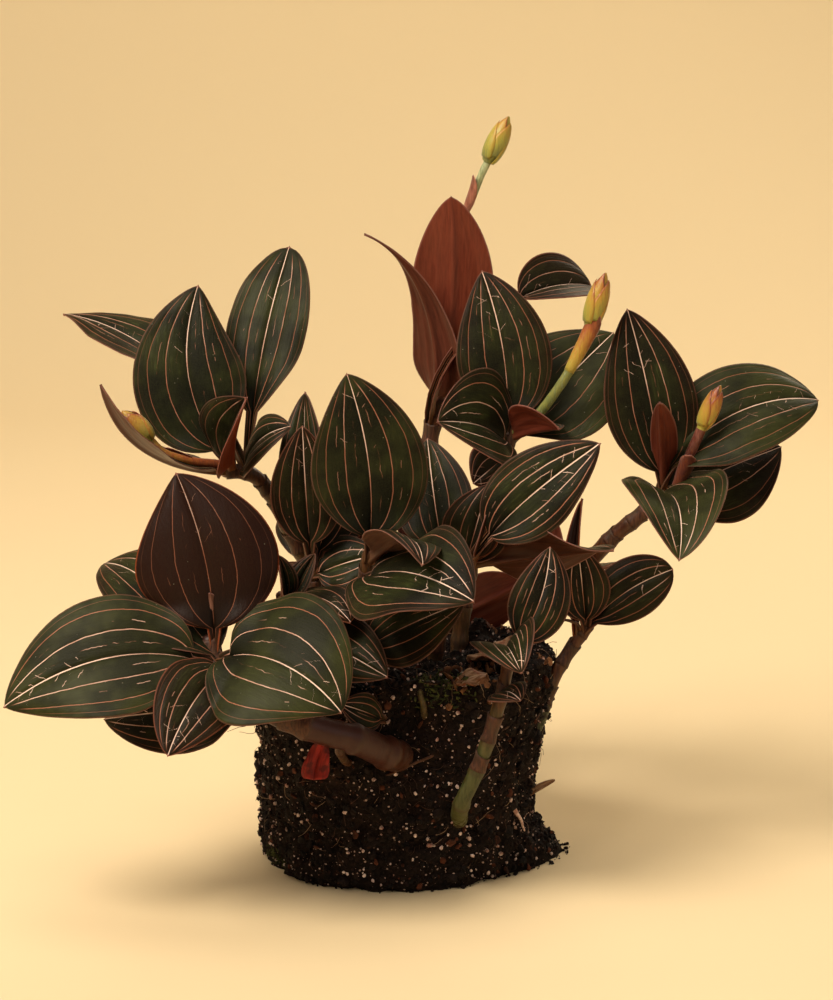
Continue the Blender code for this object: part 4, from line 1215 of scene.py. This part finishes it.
# The low shoot in front on the right. Its green stem has lain against the mix.
grow_shoot("low_front", [(18, -40, 24), (19, -50, 33), (25, -53, 48), (31, -53, 68), (35, -49, 86)],
           2.9, 1.75, (-0.6, 1.15), [
    ("upright", 2, (47, -40, 115), (0.05, -1.0, 0.1), 19, dict(sway=-0.10, bronze=0.1)),
    ("front", 3, (37, -74, 82), (-0.15, -0.8, 0.65), 24, dict(rise=62, droop=52, fold=36, curl=-12,
                                                              belly=0.5, veined=1.5)),
    ("lowest", 17, (37, -66, 71), (0.0, -0.6, 0.8), 13, dict(rise=45, droop=50)),
], grime=2.0, sleeves=0.3)

# The small shoot low at the back, seen only by the red underside of its leaf.
grow_shoot("low_back", [(13, 18, 52), (14, 20, 66), (16, 21, 82)], 2.6, 2.0, (0.5, 0.9), [
    ("right", 3, (42, 26, 89), (0.3, 0.9, 0.2), 20, dict(rise=-12, droop=-5, glow=0.1)),
])

# Three shoots behind, which lean away from the others.
grow_shoot("rear_left", [(-20, 30, 52), (-24, 38, 72), (-26, 44, 90)], 3.0, 2.2, (0.3, 0.8), [
    ("up", 2, (-20, 48, 148), (0.0, 1.0, 0.2), 32, {}),
    ("left", 5, (-72, 58, 87), (0.0, 0.4, 1.0), 32, dict(rise=20, droop=20)),
    ("back", 8, (-34, 98, 98), (0.0, 0.3, 1.0), 34, dict(rise=30, droop=35)),
    ("high_back", 3, (-6, 84, 112), (0.0, 0.6, 1.0), 28, dict(rise=30, droop=25, bronze=0.3)),
])
grow_shoot("rear_middle", [(6, 42, 45), (8, 50, 62), (8, 56, 84)], 2.8, 2.0, (0.2, 0.7), [
    ("left", 4, (-20, 96, 84), (0.0, 0.3, 1.0), 28, dict(rise=35, droop=30)),
    ("right", 6, (32, 98, 88), (0.1, 0.3, 1.0), 28, dict(rise=30, droop=30, bronze=0.15)),
    ("up", 2, (10, 74, 118), (0.0, 1.0, 0.1), 22, {}),
])
grow_shoot("rear_right", [(36, 26, 52), (42, 36, 68), (46, 42, 86)], 2.8, 2.0, (0.2, 0.8), [
    ("up", 2, (52, 50, 108), (0.0, 1.0, 0.1), 14, {}),
    ("right", 5, (86, 60, 86), (0.0, 0.3, 1.0), 28, dict(rise=22, droop=25)),
    ("back", 7, (60, 92, 86), (0.1, 0.3, 1.0), 30, dict(rise=30, droop=30)),
])

# What else lies on the root ball: dry scraps of leaf and sheath, a torn red leaf end that hangs from
# the thick stem, bare roots, a stub of stem, a straw, and one small leaf low in front.


def dead_finish(name, dark, pale, blotched):
    """Dry leaf: papery, with blotches and lengthwise ribs."""
    material, _, shader, place, _, streak = leaf_finish(name, 1.8, 0.2, Specular_IOR_Level=0.25)
    colour = tint(fade(streak, 0.3, 0.7), dark, pale)
    colour = tint(fade(grain(place, 0.004, 3), 0.5, 0.65, 0, 0.8), colour, blotched)
    dress(shader, colour, fade(streak, 0.3, 0.7, 0.62, 0.82), streak, 0.6, 0.0006)
    return material


dead_leaf = dead_finish("dead_leaf", (0.17, 0.070, 0.028), (0.46, 0.28, 0.16), (0.20, 0.045, 0.014))
torn_red = dead_finish("torn_red_leaf", (0.14, 0.010, 0.006), (0.30, 0.022, 0.014), (0.055, 0.006, 0.005))
grow_leaf("torn_red_leaf", (-24, -65, 63), (-28, -68, 46), (0.5, -1.0, 0.1), 8, "shoot_lower_left",
          dict(rise=5, droop=-20, petiole=0.2, belly=0.8, point=0.16, fold=34, curl=-60, twist=35, wave=1.4),
          finishes=(torn_red, torn_red))
for name, foot, tip, looks, width, shape in (
        ("dead_sheath", (28, -20, 70), (37, -8, 78), (-0.5, -0.6, 0.5), 7,
         dict(fold=35, rise=10, droop=-20, petiole=0.05, point=0.5, wave=1.0)),
        ("dead_scrap_front", (17, -42, 70), (27, -36, 72), (0.1, -0.4, 0.9), 6,
         dict(fold=10, rise=20, droop=20, petiole=0.05, wave=1.2)),
        ("dead_scrap_top", (22, -14, 71), (31, -24, 74), (-0.3, 0.2, 0.9), 8,
         dict(fold=25, rise=25, droop=5, petiole=0.1, wave=1.0)),
        ("dead_scrap_behind", (-8, 36, 71), (6, 30, 75), (0.1, 0.5, 0.9), 9,
         dict(fold=15, rise=20, droop=10, petiole=0.1, wave=1.4))):
    grow_leaf(name, foot, tip, looks, width, "root_ball", shape, (dead_leaf, dead_leaf))
grow_leaf("small_low_leaf", (-7, -45, 59), (-20, -55, 67), (0.1, -0.9, 0.45), 12, "shoot_centre_front",
          dict(rise=25, droop=20))
noise.seed_set(1)
for name, path, thick, thin, redness, finish in (
        ("hair_root_left", [(-46, -8, 50), (-51, -10, 48.4), (-56, -10.5, 46.6), (-59, -12, 46.0)],
         0.16, 0.08, 1.0, stem_colours),
        ("hair_root_low", [(-46, -10, 48), (-50, -14, 46.5), (-55, -14, 46.4)],
         0.12, 0.06, 1.0, stem_colours),
        ("white_root_end", [(34.5, -27, 27), (37.5, -24, 22), (39.8, -20.5, 16), (40.5, -18, 13.5)],
         1.0, 0.25, 0.0, perlite),
        ("rhizome_root", [(-19, -61, 60), (-20, -56, 51), (-18.5, -47, 46), (-17, -42, 44)],
         1.9, 1.2, 0.7, stem_colours),
        ("stem_stub", [(7.5, -39, 58), (6.6, -43.5, 63), (5.2, -45.5, 69.5)], 1.25, 0.9, 0.5, stem_colours),
        ("dead_stalk", [(60, -1, 77.5), (57.5, -3, 81.3), (54, -4, 82.6), (50.6, -5, 81.6)],
         0.7, 0.35, 1.2, stem_colours),
        ("surface_root", [(10, -43, 47), (0, -46.5, 43.5), (-6, -46.5, 41), (-12, -44, 41)],
         0.5, 0.3, 0.8, stem_colours),
        ("surface_root_right", [(30, -36, 52), (36, -31.5, 54), (42, -24, 52), (45.5, -17, 54)],
         0.45, 0.25, 0.9, stem_colours),
        ("surface_root_behind", [(-20, 42, 48), (-4, 47.5, 42), (10, 48, 46), (20, 44, 40)],
         0.6, 0.35, 0.8, stem_colours)):
    line = [p + noise.noise_vector(p / 4) * 0.5 for p in curve_through(path, 0.7)]
    count = len(line)
    radii = [mix(thick, thin, i / (count - 1)) * (1 + 0.12 * noise.noise(p / 2)) for i, p in enumerate(line)]
    radii[0] *= 0.7
    radii[-1] *= 0.5
    settle(name, rod_mesh(name, line, radii, 10, finish, joint=[0.0] * count, redness=[redness] * count,
                          soiled=[0.5] * count))
grow_leaf("straw", (41, -3, 21), (51, -4, 27), (0, -1, 0.4), 1.5, None,
          dict(rise=5, droop=5, fold=20, curl=0, sway=0.05, twist=20, petiole=0.05, belly=0.3, veined=0.0,
               point=0.6), (dead_leaf, dead_leaf))
